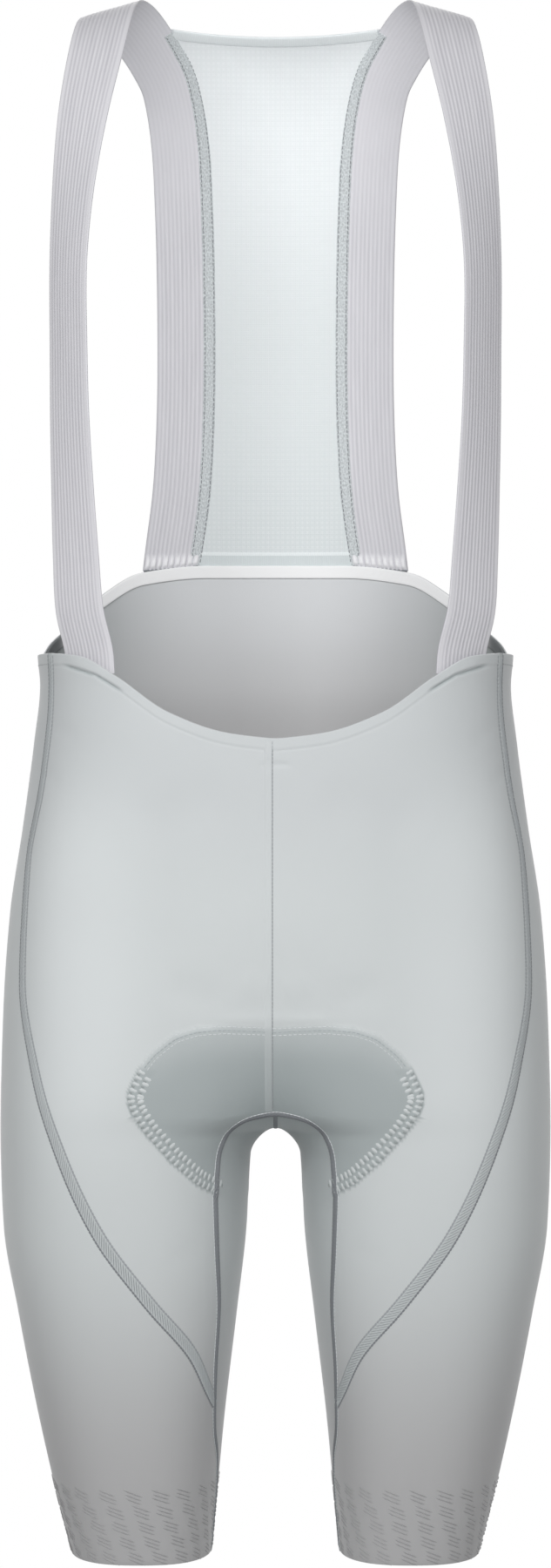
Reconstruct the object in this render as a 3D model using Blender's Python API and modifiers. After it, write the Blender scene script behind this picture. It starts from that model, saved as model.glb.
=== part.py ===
"""Cycling bib shorts, worn and hollow, in metres with +Z up and the front facing -Y.

The origin lies between the two shoulder straps, at the height where they cross the shoulders.
The left and right of a piece's name are those of a viewer who stands in front of the garment.
"""

import math

import bpy
from mathutils import Vector

COLLECTION = "bib_shorts"

# Cloth thicknesses and gaps
PANEL_WALL = 0.0012
STRAP_WALL = 0.0013
MESH_WALL = 0.0010
BAND_WALL = 0.0010
SEAM_GAP = 0.0003

# Rounding of the fork between the legs
FORK = 0.010

# Cross-sections of the general figure that fills the shorts, from the waist down to the leg hems.
# Below the fork a section is a leg, and above it the torso, whose centre lies on the middle plane.
# inner is the half-width from a leg's centre towards the middle plane. Above the fork it reaches
# past that plane, so that the two legs run together.
SECTION_COLUMNS = ("height", "half_width", "centre", "inner", "front", "back", "front_round", "back_round")
SECTIONS = (
    (-0.300, 0.1500, 0.0000, 0.1500, 0.104, 0.098, 2.7, 2.3),
    (-0.360, 0.1505, 0.0000, 0.1500, 0.106, 0.094, 2.9, 2.3),
    (-0.420, 0.1522, 0.0000, 0.1500, 0.108, 0.092, 3.0, 2.3),
    (-0.440, 0.1506, 0.0000, 0.1500, 0.108, 0.092, 3.0, 2.3),
    (-0.475, 0.1543, 0.0000, 0.1540, 0.110, 0.095, 2.9, 2.3),
    (-0.530, 0.1618, 0.0000, 0.1610, 0.111, 0.105, 2.7, 2.3),
    (-0.585, 0.1702, 0.0060, 0.1640, 0.109, 0.115, 2.5, 2.3),
    (-0.640, 0.1743, 0.0400, 0.1600, 0.105, 0.121, 2.4, 2.3),
    (-0.680, 0.1757, 0.0720, 0.1340, 0.101, 0.118, 2.3, 2.3),
    (-0.7087, 0.1763, 0.0900, 0.1130, 0.098, 0.112, 2.3, 2.3),
    (-0.7230, 0.1764, 0.0950, 0.0850, 0.096, 0.108, 2.3, 2.3),
    (-0.7400, 0.1762, 0.0963, 0.0772, 0.095, 0.104, 2.3, 2.3),
    (-0.785, 0.1744, 0.0965, 0.0755, 0.092, 0.095, 2.3, 2.3),
    (-0.840, 0.1650, 0.0948, 0.0682, 0.088, 0.085, 2.3, 2.3),
    (-0.900, 0.1533, 0.0927, 0.0593, 0.081, 0.076, 2.3, 2.3),
    (-0.950, 0.1420, 0.0894, 0.0513, 0.073, 0.067, 2.4, 2.4),
    (-0.993, 0.1310, 0.0860, 0.0440, 0.063, 0.058, 2.5, 2.5),
)

# Heights of the main places
FRONT_CENTRE_HEIGHT = -0.4754
SIDE_HEIGHT = -0.4215
BACK_CENTRE_HEIGHT = -0.3583
CROTCH_SEAM_HEIGHT = -0.7087
ARCH_FOOT_HEIGHT = -0.7556
FRONT_TIP_HEIGHT = -0.8860
BELOW_TIP_HEIGHT = -0.8875
HEM_HEIGHT = -0.9930

# The seam from the side of the waist down the thigh, seen from the front
# (height, across)
SIDE_SEAM = (
    (-0.4215, 0.1412),
    (-0.4470, 0.1409),
    (-0.5030, 0.1467),
    (-0.5520, 0.1559),
    (-0.6264, 0.1594),
    (-0.6846, 0.1499),
    (-0.7384, 0.1299),
    (-0.8003, 0.0967),
    (-0.8444, 0.0617),
    (-0.8860, 0.0425),
)

# The seam round the arch of the crotch and down the front of the inner thigh, seen from the front
# (height, across)
FRONT_INSEAM = (
    (-0.7087, 0.0000),
    (-0.7121, 0.0190),
    (-0.7201, 0.0293),
    (-0.7325, 0.0358),
    (-0.7556, 0.0379),
    (-0.7970, 0.0369),
    (-0.8288, 0.0358),
    (-0.8755, 0.0382),
    (-0.9110, 0.0388),
    (-0.9300, 0.0372),
    (-0.9930, 0.0412),
)

# The matching seam at the back of the inner thigh
# (height, across)
BACK_INSEAM = (
    (-0.7087, 0.0000),
    (-0.7121, 0.0190),
    (-0.7201, 0.0293),
    (-0.7325, 0.0358),
    (-0.7556, 0.0390),
    (-0.8288, 0.0400),
    (-0.9110, 0.0440),
    (-0.9930, 0.0500),
)

# Top edge of the front, from the middle to the side seam, seen from the front
# (across, height)
FRONT_EDGE = (
    (0.0000, -0.4754),
    (0.0316, -0.4714),
    (0.0667, -0.4589),
    (0.1000, -0.4365),
    (0.1226, -0.4238),
    (0.1412, -0.4215),
)

# Top edge of the back, from the middle to the side, seen from behind
# (across, height)
BACK_EDGE = (
    (0.0000, -0.3583),
    (0.0469, -0.3585),
    (0.0897, -0.3636),
    (0.1156, -0.3788),
    (0.1405, -0.4050),
    (0.1475, -0.4130),
    (0.1515, -0.4215),
)

# Rows of faces between the main heights, and columns of faces across each panel
TORSO_ROWS = 12
ARCH_HEIGHTS = (-0.7121, -0.7201, -0.7325, -0.7556)
THIGH_ROWS = 6
KNEE_ROWS = 5
EDGE_ROWS = 7
FRONT_COLUMNS = 9
BACK_COLUMNS = 14
INNER_COLUMNS = 10

# Path of the inner face of one strap, from inside the front waist to the back waist.
# turn is the swing of its width about the upright, slope how far its outer edge hangs, and crown
# how far its middle stands out.
# (across, depth, height, turn in degrees, slope in degrees, crown)
STRAP_WIDTH = 0.036
STRAP_PATH = (
    (0.1147, -0.0818, -0.4350, 34, 0, 0.0014),
    (0.1159, -0.0824, -0.4200, 34, 0, 0.0014),
    (0.1216, -0.0840, -0.3949, 35, 0, 0.0008),
    (0.1239, -0.0835, -0.3627, 38, 0, 0.0006),
    (0.1261, -0.0815, -0.3199, 43, 0, 0.0006),
    (0.1279, -0.0795, -0.2768, 47, 0, 0.0006),
    (0.1287, -0.0780, -0.2338, 49, 0, 0.0006),
    (0.1290, -0.0765, -0.1800, 49, 0, 0.0006),
    (0.1262, -0.0735, -0.1330, 43, 0, 0.0006),
    (0.1207, -0.0640, -0.0846, 30, 0, 0.0006),
    (0.1136, -0.0450, -0.0418, 15, 4, 0.0006),
    (0.1086, -0.0220, -0.0154, 5, 12, 0.0006),
    (0.1045, 0.0000, -0.0066, 0, 16, 0.0006),
    (0.0955, 0.0210, -0.0090, -8, 22, 0.0006),
    (0.0855, 0.0405, -0.0180, -14, 27, 0.0006),
    (0.0775, 0.0555, -0.0290, -16, 26, 0.0006),
    (0.0709, 0.0670, -0.0410, -15, 18, 0.0006),
    (0.0665, 0.0780, -0.0589, -12, 8, 0.0006),
    (0.0636, 0.0860, -0.0818, -9, 3, 0.0006),
    (0.0622, 0.0910, -0.1063, -7, 0, 0.0006),
    (0.0607, 0.0955, -0.1547, -6, 0, 0.0006),
    (0.0601, 0.0975, -0.2243, -6, 0, 0.0006),
    (0.0610, 0.0955, -0.2708, -7, 0, 0.0006),
    (0.0634, 0.0915, -0.3116, -9, 0, 0.0006),
    (0.0680, 0.0868, -0.3480, -13, 0, 0.0006),
    (0.0695, 0.0852, -0.3599, -15, 0, 0.0006),
)
STRAP_ROWS = 34
# Its first row inside the front waist is a straight one of this length
STRAP_TUCK = 0.016
# Its sewn end at the back follows the slant of the waist edge
STRAP_END_SKEW = 0.0047
STRAP_SKEW_LENGTH = 0.040
STRAP_RIBS = 13
RIB_HEIGHT = 0.0005

# The mesh panel hangs between the inner edges of the straps. It starts at this share of the way
# from this row of the strap to the next, and its top edge sags towards the middle.
MESH_FIRST_ROW = 20
MESH_FIRST_SHARE = 0.16
MESH_COLUMNS = 4
MESH_BULGE = 0.005
MESH_SAG = 0.0045
MESH_SAG_LENGTH = 0.10

# The elastic inside the back waist, from side seam to side seam
BAND_HEIGHT = 0.009
BAND_CLEARANCE = 0.0003

# The seam between the legs is lowest here, halfway under the crotch
ARCH_TOP_HEIGHT = -0.722

# Seat pad: a row for each line across it, from the front to the back. along is the share of the
# way under the crotch, edge_across and edge_height are its side edge, and face is -1 at the front
# of the thigh and +1 at the back.
PAD_FRONT_HEIGHT = -0.6515
PAD_BACK_HEIGHT = -0.5900
PAD_CLEARANCE = 0.0027
PAD_THICKNESS = 0.0065
PAD_EDGE_THICKNESS = 0.0015
PAD_COLUMNS = 6
# It reaches its full thickness at this share of its half-width and of its length
PAD_SIDE_RAMP = 0.33
PAD_END_RAMP = 0.17
# Rays from this height on the middle plane find the line that it follows under the crotch
PAD_HUB_DEPTH = 0.008
PAD_HUB_HEIGHT = -0.600
# (along, edge_across, edge_height, face)
PAD_LINES = (
    (0.00, 0.0636, -0.6570, -1),
    (0.05, 0.0777, -0.6692, -1),
    (0.10, 0.0865, -0.6808, -1),
    (0.15, 0.0930, -0.6967, -1),
    (0.20, 0.0905, -0.7064, -1),
    (0.26, 0.0820, -0.7196, -1),
    (0.32, 0.0652, -0.7390, -1),
    (0.37, 0.0500, -0.7533, -1),
    (0.41, 0.0360, -0.7620, -1),
    (0.45, 0.0240, -0.7670, -1),
    (0.49, 0.0240, -0.7670, 1),
    (0.53, 0.0380, -0.7610, 1),
    (0.58, 0.0560, -0.7480, 1),
    (0.63, 0.0740, -0.7300, 1),
    (0.69, 0.0880, -0.7080, 1),
    (0.76, 0.0960, -0.6820, 1),
    (0.84, 0.0960, -0.6500, 1),
    (0.92, 0.0850, -0.6180, 1),
    (1.00, 0.0600, -0.5950, 1),
)

# Colour, roughness of each material
MATERIALS = {
    "stretch_knit": ((0.62, 0.65, 0.65), 0.60),
    "ribbed_elastic": ((0.57, 0.57, 0.61), 0.70),
    "mesh_knit": ((0.74, 0.79, 0.78), 0.65),
    "white_elastic": ((0.88, 0.89, 0.90), 0.65),
    "pad_foam": ((0.66, 0.69, 0.70), 0.80),
}


def clear_scene():
    """Remove what the start-up file holds."""
    for item in list(bpy.data.objects):
        bpy.data.objects.remove(item, do_unlink=True)


def make_material(name):
    """A plain Principled material of the named cloth."""
    colour, roughness = MATERIALS[name]
    material = bpy.data.materials.new(name)
    material.use_nodes = True
    shader = material.node_tree.nodes["Principled BSDF"]
    shader.inputs["Base Color"].default_value = (*colour, 1.0)
    shader.inputs["Roughness"].default_value = roughness
    shader.inputs["Metallic"].default_value = 0.0
    return material


def lerp(a, b, share):
    """The value that lies the given share of the way from a to b."""
    return a + (b - a) * share


def smooth_slopes(xs, ys):
    """Slopes at the rows of a table that keep the curve through them from overshooting."""
    steps = [(ys[i + 1] - ys[i]) / (xs[i + 1] - xs[i]) for i in range(len(xs) - 1)]
    slopes = [steps[0]]
    for before, after in zip(steps, steps[1:]):
        same_way = before * after > 0.0
        slopes.append(2.0 * before * after / (before + after) if same_way else 0.0)
    slopes.append(steps[-1])
    return slopes


def smooth_column(xs, ys):
    """A smooth function through one column of a table, whose first column rises or falls."""
    if xs[0] > xs[-1]:
        xs = xs[::-1]
        ys = ys[::-1]
    return curve_through(xs, ys, smooth_slopes(xs, ys))


def curve_through(xs, ys, slopes):
    """A smooth function through points with given slopes, straight beyond both ends."""
    def value(x):
        inside = min(max(x, xs[0]), xs[-1])
        i = max(k for k in range(len(xs) - 1) if xs[k] <= inside or k == 0)
        width = xs[i + 1] - xs[i]
        t = (inside - xs[i]) / width
        near = (1.0 + 2.0 * t) * (1.0 - t) ** 2 * ys[i] + t * (1.0 - t) ** 2 * width * slopes[i]
        far = t * t * (3.0 - 2.0 * t) * ys[i + 1] + t * t * (t - 1.0) * width * slopes[i + 1]
        return near + far + (x - inside) * (slopes[-1] if x > inside else slopes[0])

    return value


def table_functions(rows):
    """One smooth function of the first column for each of the other columns."""
    columns = list(zip(*rows))
    return [smooth_column(list(columns[0]), list(column)) for column in columns[1:]]


SECTION_AT = table_functions(SECTIONS)
SIDE_SEAM_AT = table_functions(SIDE_SEAM)[0]
FRONT_INSEAM_AT = table_functions(FRONT_INSEAM)[0]
BACK_INSEAM_AT = table_functions(BACK_INSEAM)[0]
FRONT_EDGE_AT = table_functions(FRONT_EDGE)[0]
BACK_EDGE_AT = table_functions(BACK_EDGE)[0]


def section(height):
    """Sizes of the figure's cross-section at a height, by the names of the table's columns."""
    sizes = dict(zip(SECTION_COLUMNS[1:], (column(height) for column in SECTION_AT)))
    sizes["outer"] = math.hypot(sizes["half_width"], FORK) - sizes["centre"]
    return sizes


def power(value, exponent):
    """A power that keeps the sign of its base."""
    return math.copysign(abs(value) ** exponent, value)


def figure_point(angle, height):
    """Point of the figure at an angle round the leg: 0 outside, -90 degrees front, 90 back."""
    size = section(height)
    cosine = math.cos(angle)
    sine = math.sin(angle)
    depth = size["front"] if sine < 0.0 else size["back"]
    roundness = size["front_round"] if sine < 0.0 else size["back_round"]
    reach = size["outer"] if cosine > 0.0 else size["inner"]
    across = size["centre"] + reach * power(cosine, 2.0 / roundness)
    across = math.sqrt(max(across * across - FORK * FORK, 0.0))
    return Vector((across, depth * power(sine, 2.0 / roundness), height))


def angle_at(across, height, face):
    """Angle round the leg of the point at this distance from the middle plane, on one face."""
    size = section(height)
    roundness = size["front_round"] if face < 0 else size["back_round"]
    offset = math.hypot(across, FORK) - size["centre"]
    reach = size["outer"] if offset > 0.0 else size["inner"]
    cosine = power(min(abs(offset) / reach, 1.0), roundness / 2.0)
    return face * math.acos(math.copysign(cosine, offset))


def figure_level(point):
    """Zero on the figure, less than zero inside it."""
    size = section(point.z)
    offset = math.hypot(point.x, FORK) - size["centre"]
    depth = size["front"] if point.y < 0.0 else size["back"]
    roundness = size["front_round"] if point.y < 0.0 else size["back_round"]
    reach = size["outer"] if offset > 0.0 else size["inner"]
    total = abs(offset / reach) ** roundness + abs(point.y / depth) ** roundness
    return total ** (1.0 / roundness) - 1.0


def figure_gradient(point):
    """Direction in which the figure's level rises, found from steps to both sides."""
    step = 0.0004
    slopes = []
    for axis in range(3):
        move = Vector((0.0, 0.0, 0.0))
        move[axis] = step
        slopes.append((figure_level(point + move) - figure_level(point - move)) / (2.0 * step))
    return Vector(slopes)


def settle(point, rounds=24):
    """Move a point that is near the figure onto it."""
    longest = 0.004
    for _ in range(rounds):
        slope = figure_gradient(point)
        move = slope * (-figure_level(point) / slope.length_squared)
        if move.length > longest:
            move *= longest / move.length
        point = point + move
    return point


def even_row(place, columns):
    """Points at even distances along a line on the figure, place(share) being its angle and height."""
    samples = 60
    fine = [figure_point(*place(i / samples)) for i in range(samples + 1)]
    lengths = [0.0]
    for a, b in zip(fine, fine[1:]):
        lengths.append(lengths[-1] + (b - a).length)
    row = []
    for column in range(columns + 1):
        target = lengths[-1] * column / columns
        i = max(k for k in range(samples) if lengths[k] <= target or k == 0)
        share = (i + (target - lengths[i]) / (lengths[i + 1] - lengths[i])) / samples
        row.append(figure_point(*place(min(share, 1.0))))
    return row


def level_line(start, end, shape=None, fade=0.0):
    """Place on a line round the figure, which takes some of the top edge's shape."""
    def place(share):
        rise = fade * shape(share) if shape else 0.0
        return lerp(start[0], end[0], share), lerp(start[1], end[1], share) + rise

    return place


def front_edge_height(angle):
    """Height of the front's top edge at an angle."""
    return FRONT_EDGE_AT(figure_point(angle, SIDE_HEIGHT).x)


def back_edge_height(angle):
    """Height of the back's top edge at an angle."""
    return BACK_EDGE_AT(figure_point(angle, SIDE_HEIGHT).x) if angle > 0.0 else SIDE_HEIGHT


def edge_shape(edge_height, first_angle, last_angle):
    """How far a top edge rises over the straight line between its ends."""
    first = edge_height(first_angle)
    last = edge_height(last_angle)

    def shape(share):
        return edge_height(lerp(first_angle, last_angle, share)) - lerp(first, last, share)

    return shape


def edge_fade(row):
    """How much of the top edge's shape is left at a row."""
    return max(1.0 - row / EDGE_ROWS, 0.0) ** 2


def torso_shares():
    """Shares of the way from the top edge to the crotch seam, one for each row."""
    return [row / TORSO_ROWS for row in range(TORSO_ROWS + 1)]


def thigh_heights():
    """Heights of the rows below the crotch seam, down to the tip of the front panel."""
    below = [lerp(ARCH_FOOT_HEIGHT, FRONT_TIP_HEIGHT, (row + 1) / THIGH_ROWS) for row in range(THIGH_ROWS)]
    return list(ARCH_HEIGHTS) + below


def knee_heights():
    """Heights of the rows from just below the tip of the front panel down to the hem."""
    return [lerp(BELOW_TIP_HEIGHT, HEM_HEIGHT, row / KNEE_ROWS) for row in range(KNEE_ROWS + 1)]


def side_place(height):
    """Angle and height of the side seam."""
    return angle_at(SIDE_SEAM_AT(height), height, -1), height


def inseam_place(height, face):
    """Angle and height of the inseam at the front or the back of the inner thigh."""
    across = FRONT_INSEAM_AT(height) if face < 0 else BACK_INSEAM_AT(height)
    return angle_at(across, height, face), height


def middle_place(height, face):
    """Angle and height of a point of the middle plane."""
    return angle_at(0.0, height, face), height


def front_grid():
    """Rows of the front panel, each from the middle or the inseam out to the side seam."""
    first_angle = middle_place(FRONT_CENTRE_HEIGHT, -1)[0]
    shape = edge_shape(front_edge_height, first_angle, side_place(SIDE_HEIGHT)[0])
    grid = []
    for row, share in enumerate(torso_shares()):
        start = middle_place(lerp(FRONT_CENTRE_HEIGHT, CROTCH_SEAM_HEIGHT, share), -1)
        end = side_place(lerp(SIDE_HEIGHT, CROTCH_SEAM_HEIGHT, share))
        grid.append(even_row(level_line(start, end, shape, edge_fade(row)), FRONT_COLUMNS))
    for height in thigh_heights():
        line = level_line(inseam_place(height, -1), side_place(height))
        grid.append(even_row(line, FRONT_COLUMNS))
    return grid


def back_edge_shape():
    """The shape of the back's top edge."""
    return edge_shape(back_edge_height, side_place(SIDE_HEIGHT)[0], middle_place(BACK_CENTRE_HEIGHT, 1)[0])


def back_grid():
    """Rows of half the back panel, each from the side seam round the back to the middle or inseam."""
    shape = back_edge_shape()
    grid = []
    for row, share in enumerate(torso_shares()):
        start = side_place(lerp(SIDE_HEIGHT, CROTCH_SEAM_HEIGHT, share))
        end = middle_place(lerp(BACK_CENTRE_HEIGHT, CROTCH_SEAM_HEIGHT, share), 1)
        grid.append(even_row(level_line(start, end, shape, edge_fade(row)), BACK_COLUMNS))
    for height in thigh_heights():
        line = level_line(side_place(height), inseam_place(height, 1))
        grid.append(even_row(line, BACK_COLUMNS))
    for height in knee_heights():
        line = level_line(inseam_place(height, -1), inseam_place(height, 1))
        grid.append(even_row(line, BACK_COLUMNS))
    return grid


def arch_row(front, middle, back, columns):
    """Points under the crotch, from the front seam past a middle point to the back seam."""
    handle = middle * 2.0 - (front + back) * 0.5
    row = []
    for column in range(columns + 1):
        t = column / columns
        seed = front * (1.0 - t) ** 2 + handle * (2.0 * t * (1.0 - t)) + back * t * t
        row.append(settle(seed))
    row[0] = front
    row[-1] = back
    return row


def inner_grid():
    """Rows of the inner leg panel, from the middle plane under the crotch down to the hem."""
    first = CROTCH_SEAM_HEIGHT
    arch_top = settle(Vector((0.0, 0.0, ARCH_TOP_HEIGHT)))
    grid = [arch_row(figure_point(*middle_place(first, -1)), arch_top,
                     figure_point(*middle_place(first, 1)), INNER_COLUMNS)]
    thigh_side = figure_point(math.pi, ARCH_FOOT_HEIGHT)
    for number, height in enumerate(ARCH_HEIGHTS[:-1]):
        share = (number + 1) / len(ARCH_HEIGHTS)
        across = thigh_side.x * math.sin(share * math.pi / 2.0)
        seed = Vector((across, 0.0, lerp(arch_top.z, thigh_side.z, share ** 2)))
        grid.append(arch_row(figure_point(*inseam_place(height, -1)), settle(seed),
                             figure_point(*inseam_place(height, 1)), INNER_COLUMNS))
    full_turn = 2.0 * math.pi
    for height in thigh_heights()[len(ARCH_HEIGHTS) - 1:] + knee_heights():
        start = inseam_place(height, -1)
        end = (inseam_place(height, 1)[0] - full_turn, height)
        grid.append(even_row(level_line(start, end), INNER_COLUMNS))
    return [row[::-1] for row in grid]


def border_moves(grid, seams):
    """Moves that draw a grid's seam borders in by half a seam gap, square to each border."""
    rows = len(grid)
    columns = len(grid[0])
    moves = {}

    def add(row, column, before, after, inside):
        along = (after - before).normalized()
        inward = inside - grid[row][column]
        inward = (inward - along * inward.dot(along)).normalized()
        moves[row, column] = moves.get((row, column), Vector((0.0, 0.0, 0.0))) + inward * (SEAM_GAP / 2.0)

    for row in range(rows):
        above = max(row - 1, 0)
        below = min(row + 1, rows - 1)
        if "first_column" in seams:
            add(row, 0, grid[above][0], grid[below][0], grid[row][1])
        if "last_column" in seams:
            add(row, columns - 1, grid[above][-1], grid[below][-1], grid[row][-2])
    for column in range(columns):
        left = max(column - 1, 0)
        right = min(column + 1, columns - 1)
        if "first_row" in seams:
            add(0, column, grid[0][left], grid[0][right], grid[1][column])
        if "last_row" in seams:
            add(rows - 1, column, grid[-1][left], grid[-1][right], grid[-2][column])
    return moves


def inset(grid, seams):
    """The grid with its seam borders drawn in by half a seam gap."""
    moves = border_moves(grid, seams)
    return [[point + moves.get((r, c), Vector((0.0, 0.0, 0.0))) for c, point in enumerate(row)]
            for r, row in enumerate(grid)]


def offset_grid(grid, depth):
    """The grid moved into the figure, square to it."""
    return [[point - figure_gradient(point).normalized() * depth for point in row] for row in grid]


def build_object(name, points, faces, material, collection):
    """A smooth mesh object from points and faces, sharp at its wall's edges."""
    mesh = bpy.data.meshes.new(name)
    mesh.from_pydata(points, [], faces)
    mesh.validate()
    mesh.shade_smooth()
    mesh.set_sharp_from_angle(angle=math.radians(50.0))
    mesh.materials.append(material)
    item = bpy.data.objects.new(name, mesh)
    collection.objects.link(item)
    return item


def wall(name, outer, inner, material, collection, side=1, open_rows=0):
    """A closed wall between two grids. The last column of the first open_rows rows stays open."""
    rows = len(outer)
    columns = len(outer[0])
    points = [(point.x * side, point.y, point.z) for grid in (outer, inner) for row in grid for point in row]
    faces = []

    def index(layer, row, column):
        return layer * rows * columns + row * columns + column

    for r in range(rows - 1):
        for c in range(columns - 1):
            faces.append([index(0, r, c), index(0, r + 1, c), index(0, r + 1, c + 1), index(0, r, c + 1)])
            faces.append([index(1, r, c), index(1, r, c + 1), index(1, r + 1, c + 1), index(1, r + 1, c)])
        faces.append([index(0, r, 0), index(1, r, 0), index(1, r + 1, 0), index(0, r + 1, 0)])
        if r >= open_rows:
            last = columns - 1
            faces.append([index(0, r, last), index(0, r + 1, last), index(1, r + 1, last), index(1, r, last)])
    for c in range(columns - 1):
        last = rows - 1
        faces.append([index(0, 0, c), index(0, 0, c + 1), index(1, 0, c + 1), index(1, 0, c)])
        faces.append([index(0, last, c), index(1, last, c), index(1, last, c + 1), index(0, last, c + 1)])
    if side < 0:
        faces = [face[::-1] for face in faces]
    return build_object(name, points, faces, material, collection)


def mirror_across_middle(item):
    """Complete a half that is open at the middle plane."""
    mirror = item.modifiers.new("Other half", 'MIRROR')
    mirror.use_axis = (True, False, False)
    mirror.use_clip = True
    mirror.merge_threshold = 0.0001
    return item


def build_front_panels(material, collection):
    """The two front panels."""
    outer = inset(front_grid(), ("first_column", "last_column", "last_row"))
    inner = offset_grid(outer, PANEL_WALL)
    wall("front_panel_left", outer, inner, material, collection, side=-1)
    wall("front_panel_right", outer, inner, material, collection, side=1)


def build_back_panel(material, collection):
    """The one back panel, with its seat and the outer cloth of both legs."""
    grid = back_grid()
    outer = inset(grid, ("first_column", "last_column"))
    for row in range(TORSO_ROWS + 1):
        outer[row][-1] = Vector((0.0, grid[row][-1].y, grid[row][-1].z))
    inner = offset_grid(outer, PANEL_WALL)
    for row in range(TORSO_ROWS + 1):
        inner[row][-1].x = 0.0
    item = wall("back_panel", outer, inner, material, collection, open_rows=TORSO_ROWS)
    mirror_across_middle(item)


def build_inner_panels(material, collection):
    """The two inner leg panels, which meet under the crotch."""
    outer = inset(inner_grid(), ("first_column", "last_column", "first_row"))
    inner = offset_grid(outer, PANEL_WALL)
    wall("inner_leg_panel_left", outer, inner, material, collection, side=-1)
    wall("inner_leg_panel_right", outer, inner, material, collection, side=1)


def path_lengths(rows):
    """Distance along a path to each of its rows."""
    lengths = [0.0]
    for a, b in zip(rows, rows[1:]):
        lengths.append(lengths[-1] + math.dist(a[:3], b[:3]))
    return lengths


def path_functions(rows):
    """One smooth function of the distance along a path for each column of its table."""
    lengths = path_lengths(rows)
    functions = []
    for column in zip(*rows):
        slopes = []
        for i in range(len(rows)):
            before = max(i - 1, 0)
            after = min(i + 1, len(rows) - 1)
            slopes.append((column[after] - column[before]) / (lengths[after] - lengths[before]))
        functions.append(curve_through(lengths, column, slopes))
    return functions


STRAP_AT = path_functions(STRAP_PATH)
STRAP_LENGTH = path_lengths(STRAP_PATH)[-1]


def strap_place(distance):
    """Middle of the strap's inner face, its width and outward directions, and its crown."""
    across, depth, height, turn, slope, crown = (column(distance) for column in STRAP_AT)
    step = 0.004
    before = Vector([column(distance - step) for column in STRAP_AT[:3]])
    after = Vector([column(distance + step) for column in STRAP_AT[:3]])
    along = (after - before).normalized()
    turn = math.radians(turn)
    slope = math.radians(slope)
    width = Vector((math.cos(turn) * math.cos(slope), math.sin(turn) * math.cos(slope), -math.sin(slope)))
    width = (width - along * width.dot(along)).normalized()
    return Vector((across, depth, height)), width, width.cross(along), crown


def strap_point(distance, across, lift):
    """A point of the strap: across runs from -1 at its inner edge to 1 at its outer edge."""
    near_end = max(1.0 - (STRAP_LENGTH - distance) / STRAP_SKEW_LENGTH, 0.0)
    middle, width, outward, crown = strap_place(distance + STRAP_END_SKEW * across * near_end)
    return middle + width * (across * STRAP_WIDTH / 2.0) + outward * (lift + crown * (1.0 - across * across))


def strap_distances():
    """Distances along the strap of its rows, the first one at the stretch inside the front waist."""
    return [0.0] + [lerp(STRAP_TUCK, STRAP_LENGTH, row / (STRAP_ROWS - 1)) for row in range(STRAP_ROWS)]


def build_strap(name, side, material, collection):
    """One ribbed strap: ribs along its outer face over a plain inner face."""
    outer_columns = 2 * STRAP_RIBS
    inner_columns = 2
    points = []
    faces = []
    stride = outer_columns + 1 + inner_columns + 1
    for distance in strap_distances():
        for c in range(outer_columns + 1):
            lift = STRAP_WALL + (RIB_HEIGHT if c % 2 else 0.0)
            points.append(strap_point(distance, 2.0 * c / outer_columns - 1.0, lift))
        for c in range(inner_columns + 1):
            points.append(strap_point(distance, 1.0 - 2.0 * c / inner_columns, 0.0))
    for r in range(STRAP_ROWS):
        for c in range(stride):
            after = (c + 1) % stride
            faces.append([r * stride + c, r * stride + after, (r + 1) * stride + after, (r + 1) * stride + c])
    faces.append(list(range(stride))[::-1])
    faces.append([STRAP_ROWS * stride + c for c in range(stride)])
    points = [(point.x * side, point.y, point.z) for point in points]
    if side < 0:
        faces = [face[::-1] for face in faces]
    return build_object(name, points, faces, material, collection)


def mesh_row(distance, below_top):
    """Points of half the mesh panel's row, from the strap's inner edge to the middle plane."""
    edge = strap_point(distance, -1.0, 0.0)
    reach = edge.x - SEAM_GAP
    sag = MESH_SAG * max(1.0 - below_top / MESH_SAG_LENGTH, 0.0) ** 2
    row = []
    for column in range(MESH_COLUMNS + 1):
        across = reach * (1.0 - column / MESH_COLUMNS)
        hollow = 1.0 - (across / reach) ** 2
        row.append(Vector((across, edge.y + MESH_BULGE * hollow, edge.z - sag * hollow)))
    return row


def build_mesh_panel(material, collection):
    """The mesh panel between the straps at the back."""
    distances = strap_distances()[MESH_FIRST_ROW:]
    inner = [mesh_row(distance, distance - distances[0]) for distance in distances]
    inner[0] = [point.lerp(below, MESH_FIRST_SHARE) for point, below in zip(*inner[:2])]
    outer = [[point + Vector((0.0, MESH_WALL, 0.0)) for point in row] for row in inner]
    item = wall("back_mesh_panel", outer, inner, material, collection, open_rows=len(inner))
    mirror_across_middle(item)


def build_waist_band(material, collection):
    """The elastic inside the back waist, made from the back panel's first two rows of points."""
    top, below = back_grid()[:2]
    bottom = [a.lerp(b, BAND_HEIGHT / (b - a).length) for a, b in zip(top, below)]
    grid = inset([top, bottom], ("first_column",))
    outer = offset_grid(grid, PANEL_WALL + BAND_CLEARANCE)
    inner = offset_grid(grid, PANEL_WALL + BAND_CLEARANCE + BAND_WALL)
    for row in outer + inner:
        row[-1].x = 0.0
    item = wall("waist_band", outer, inner, material, collection, open_rows=len(grid))
    mirror_across_middle(item)


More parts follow.
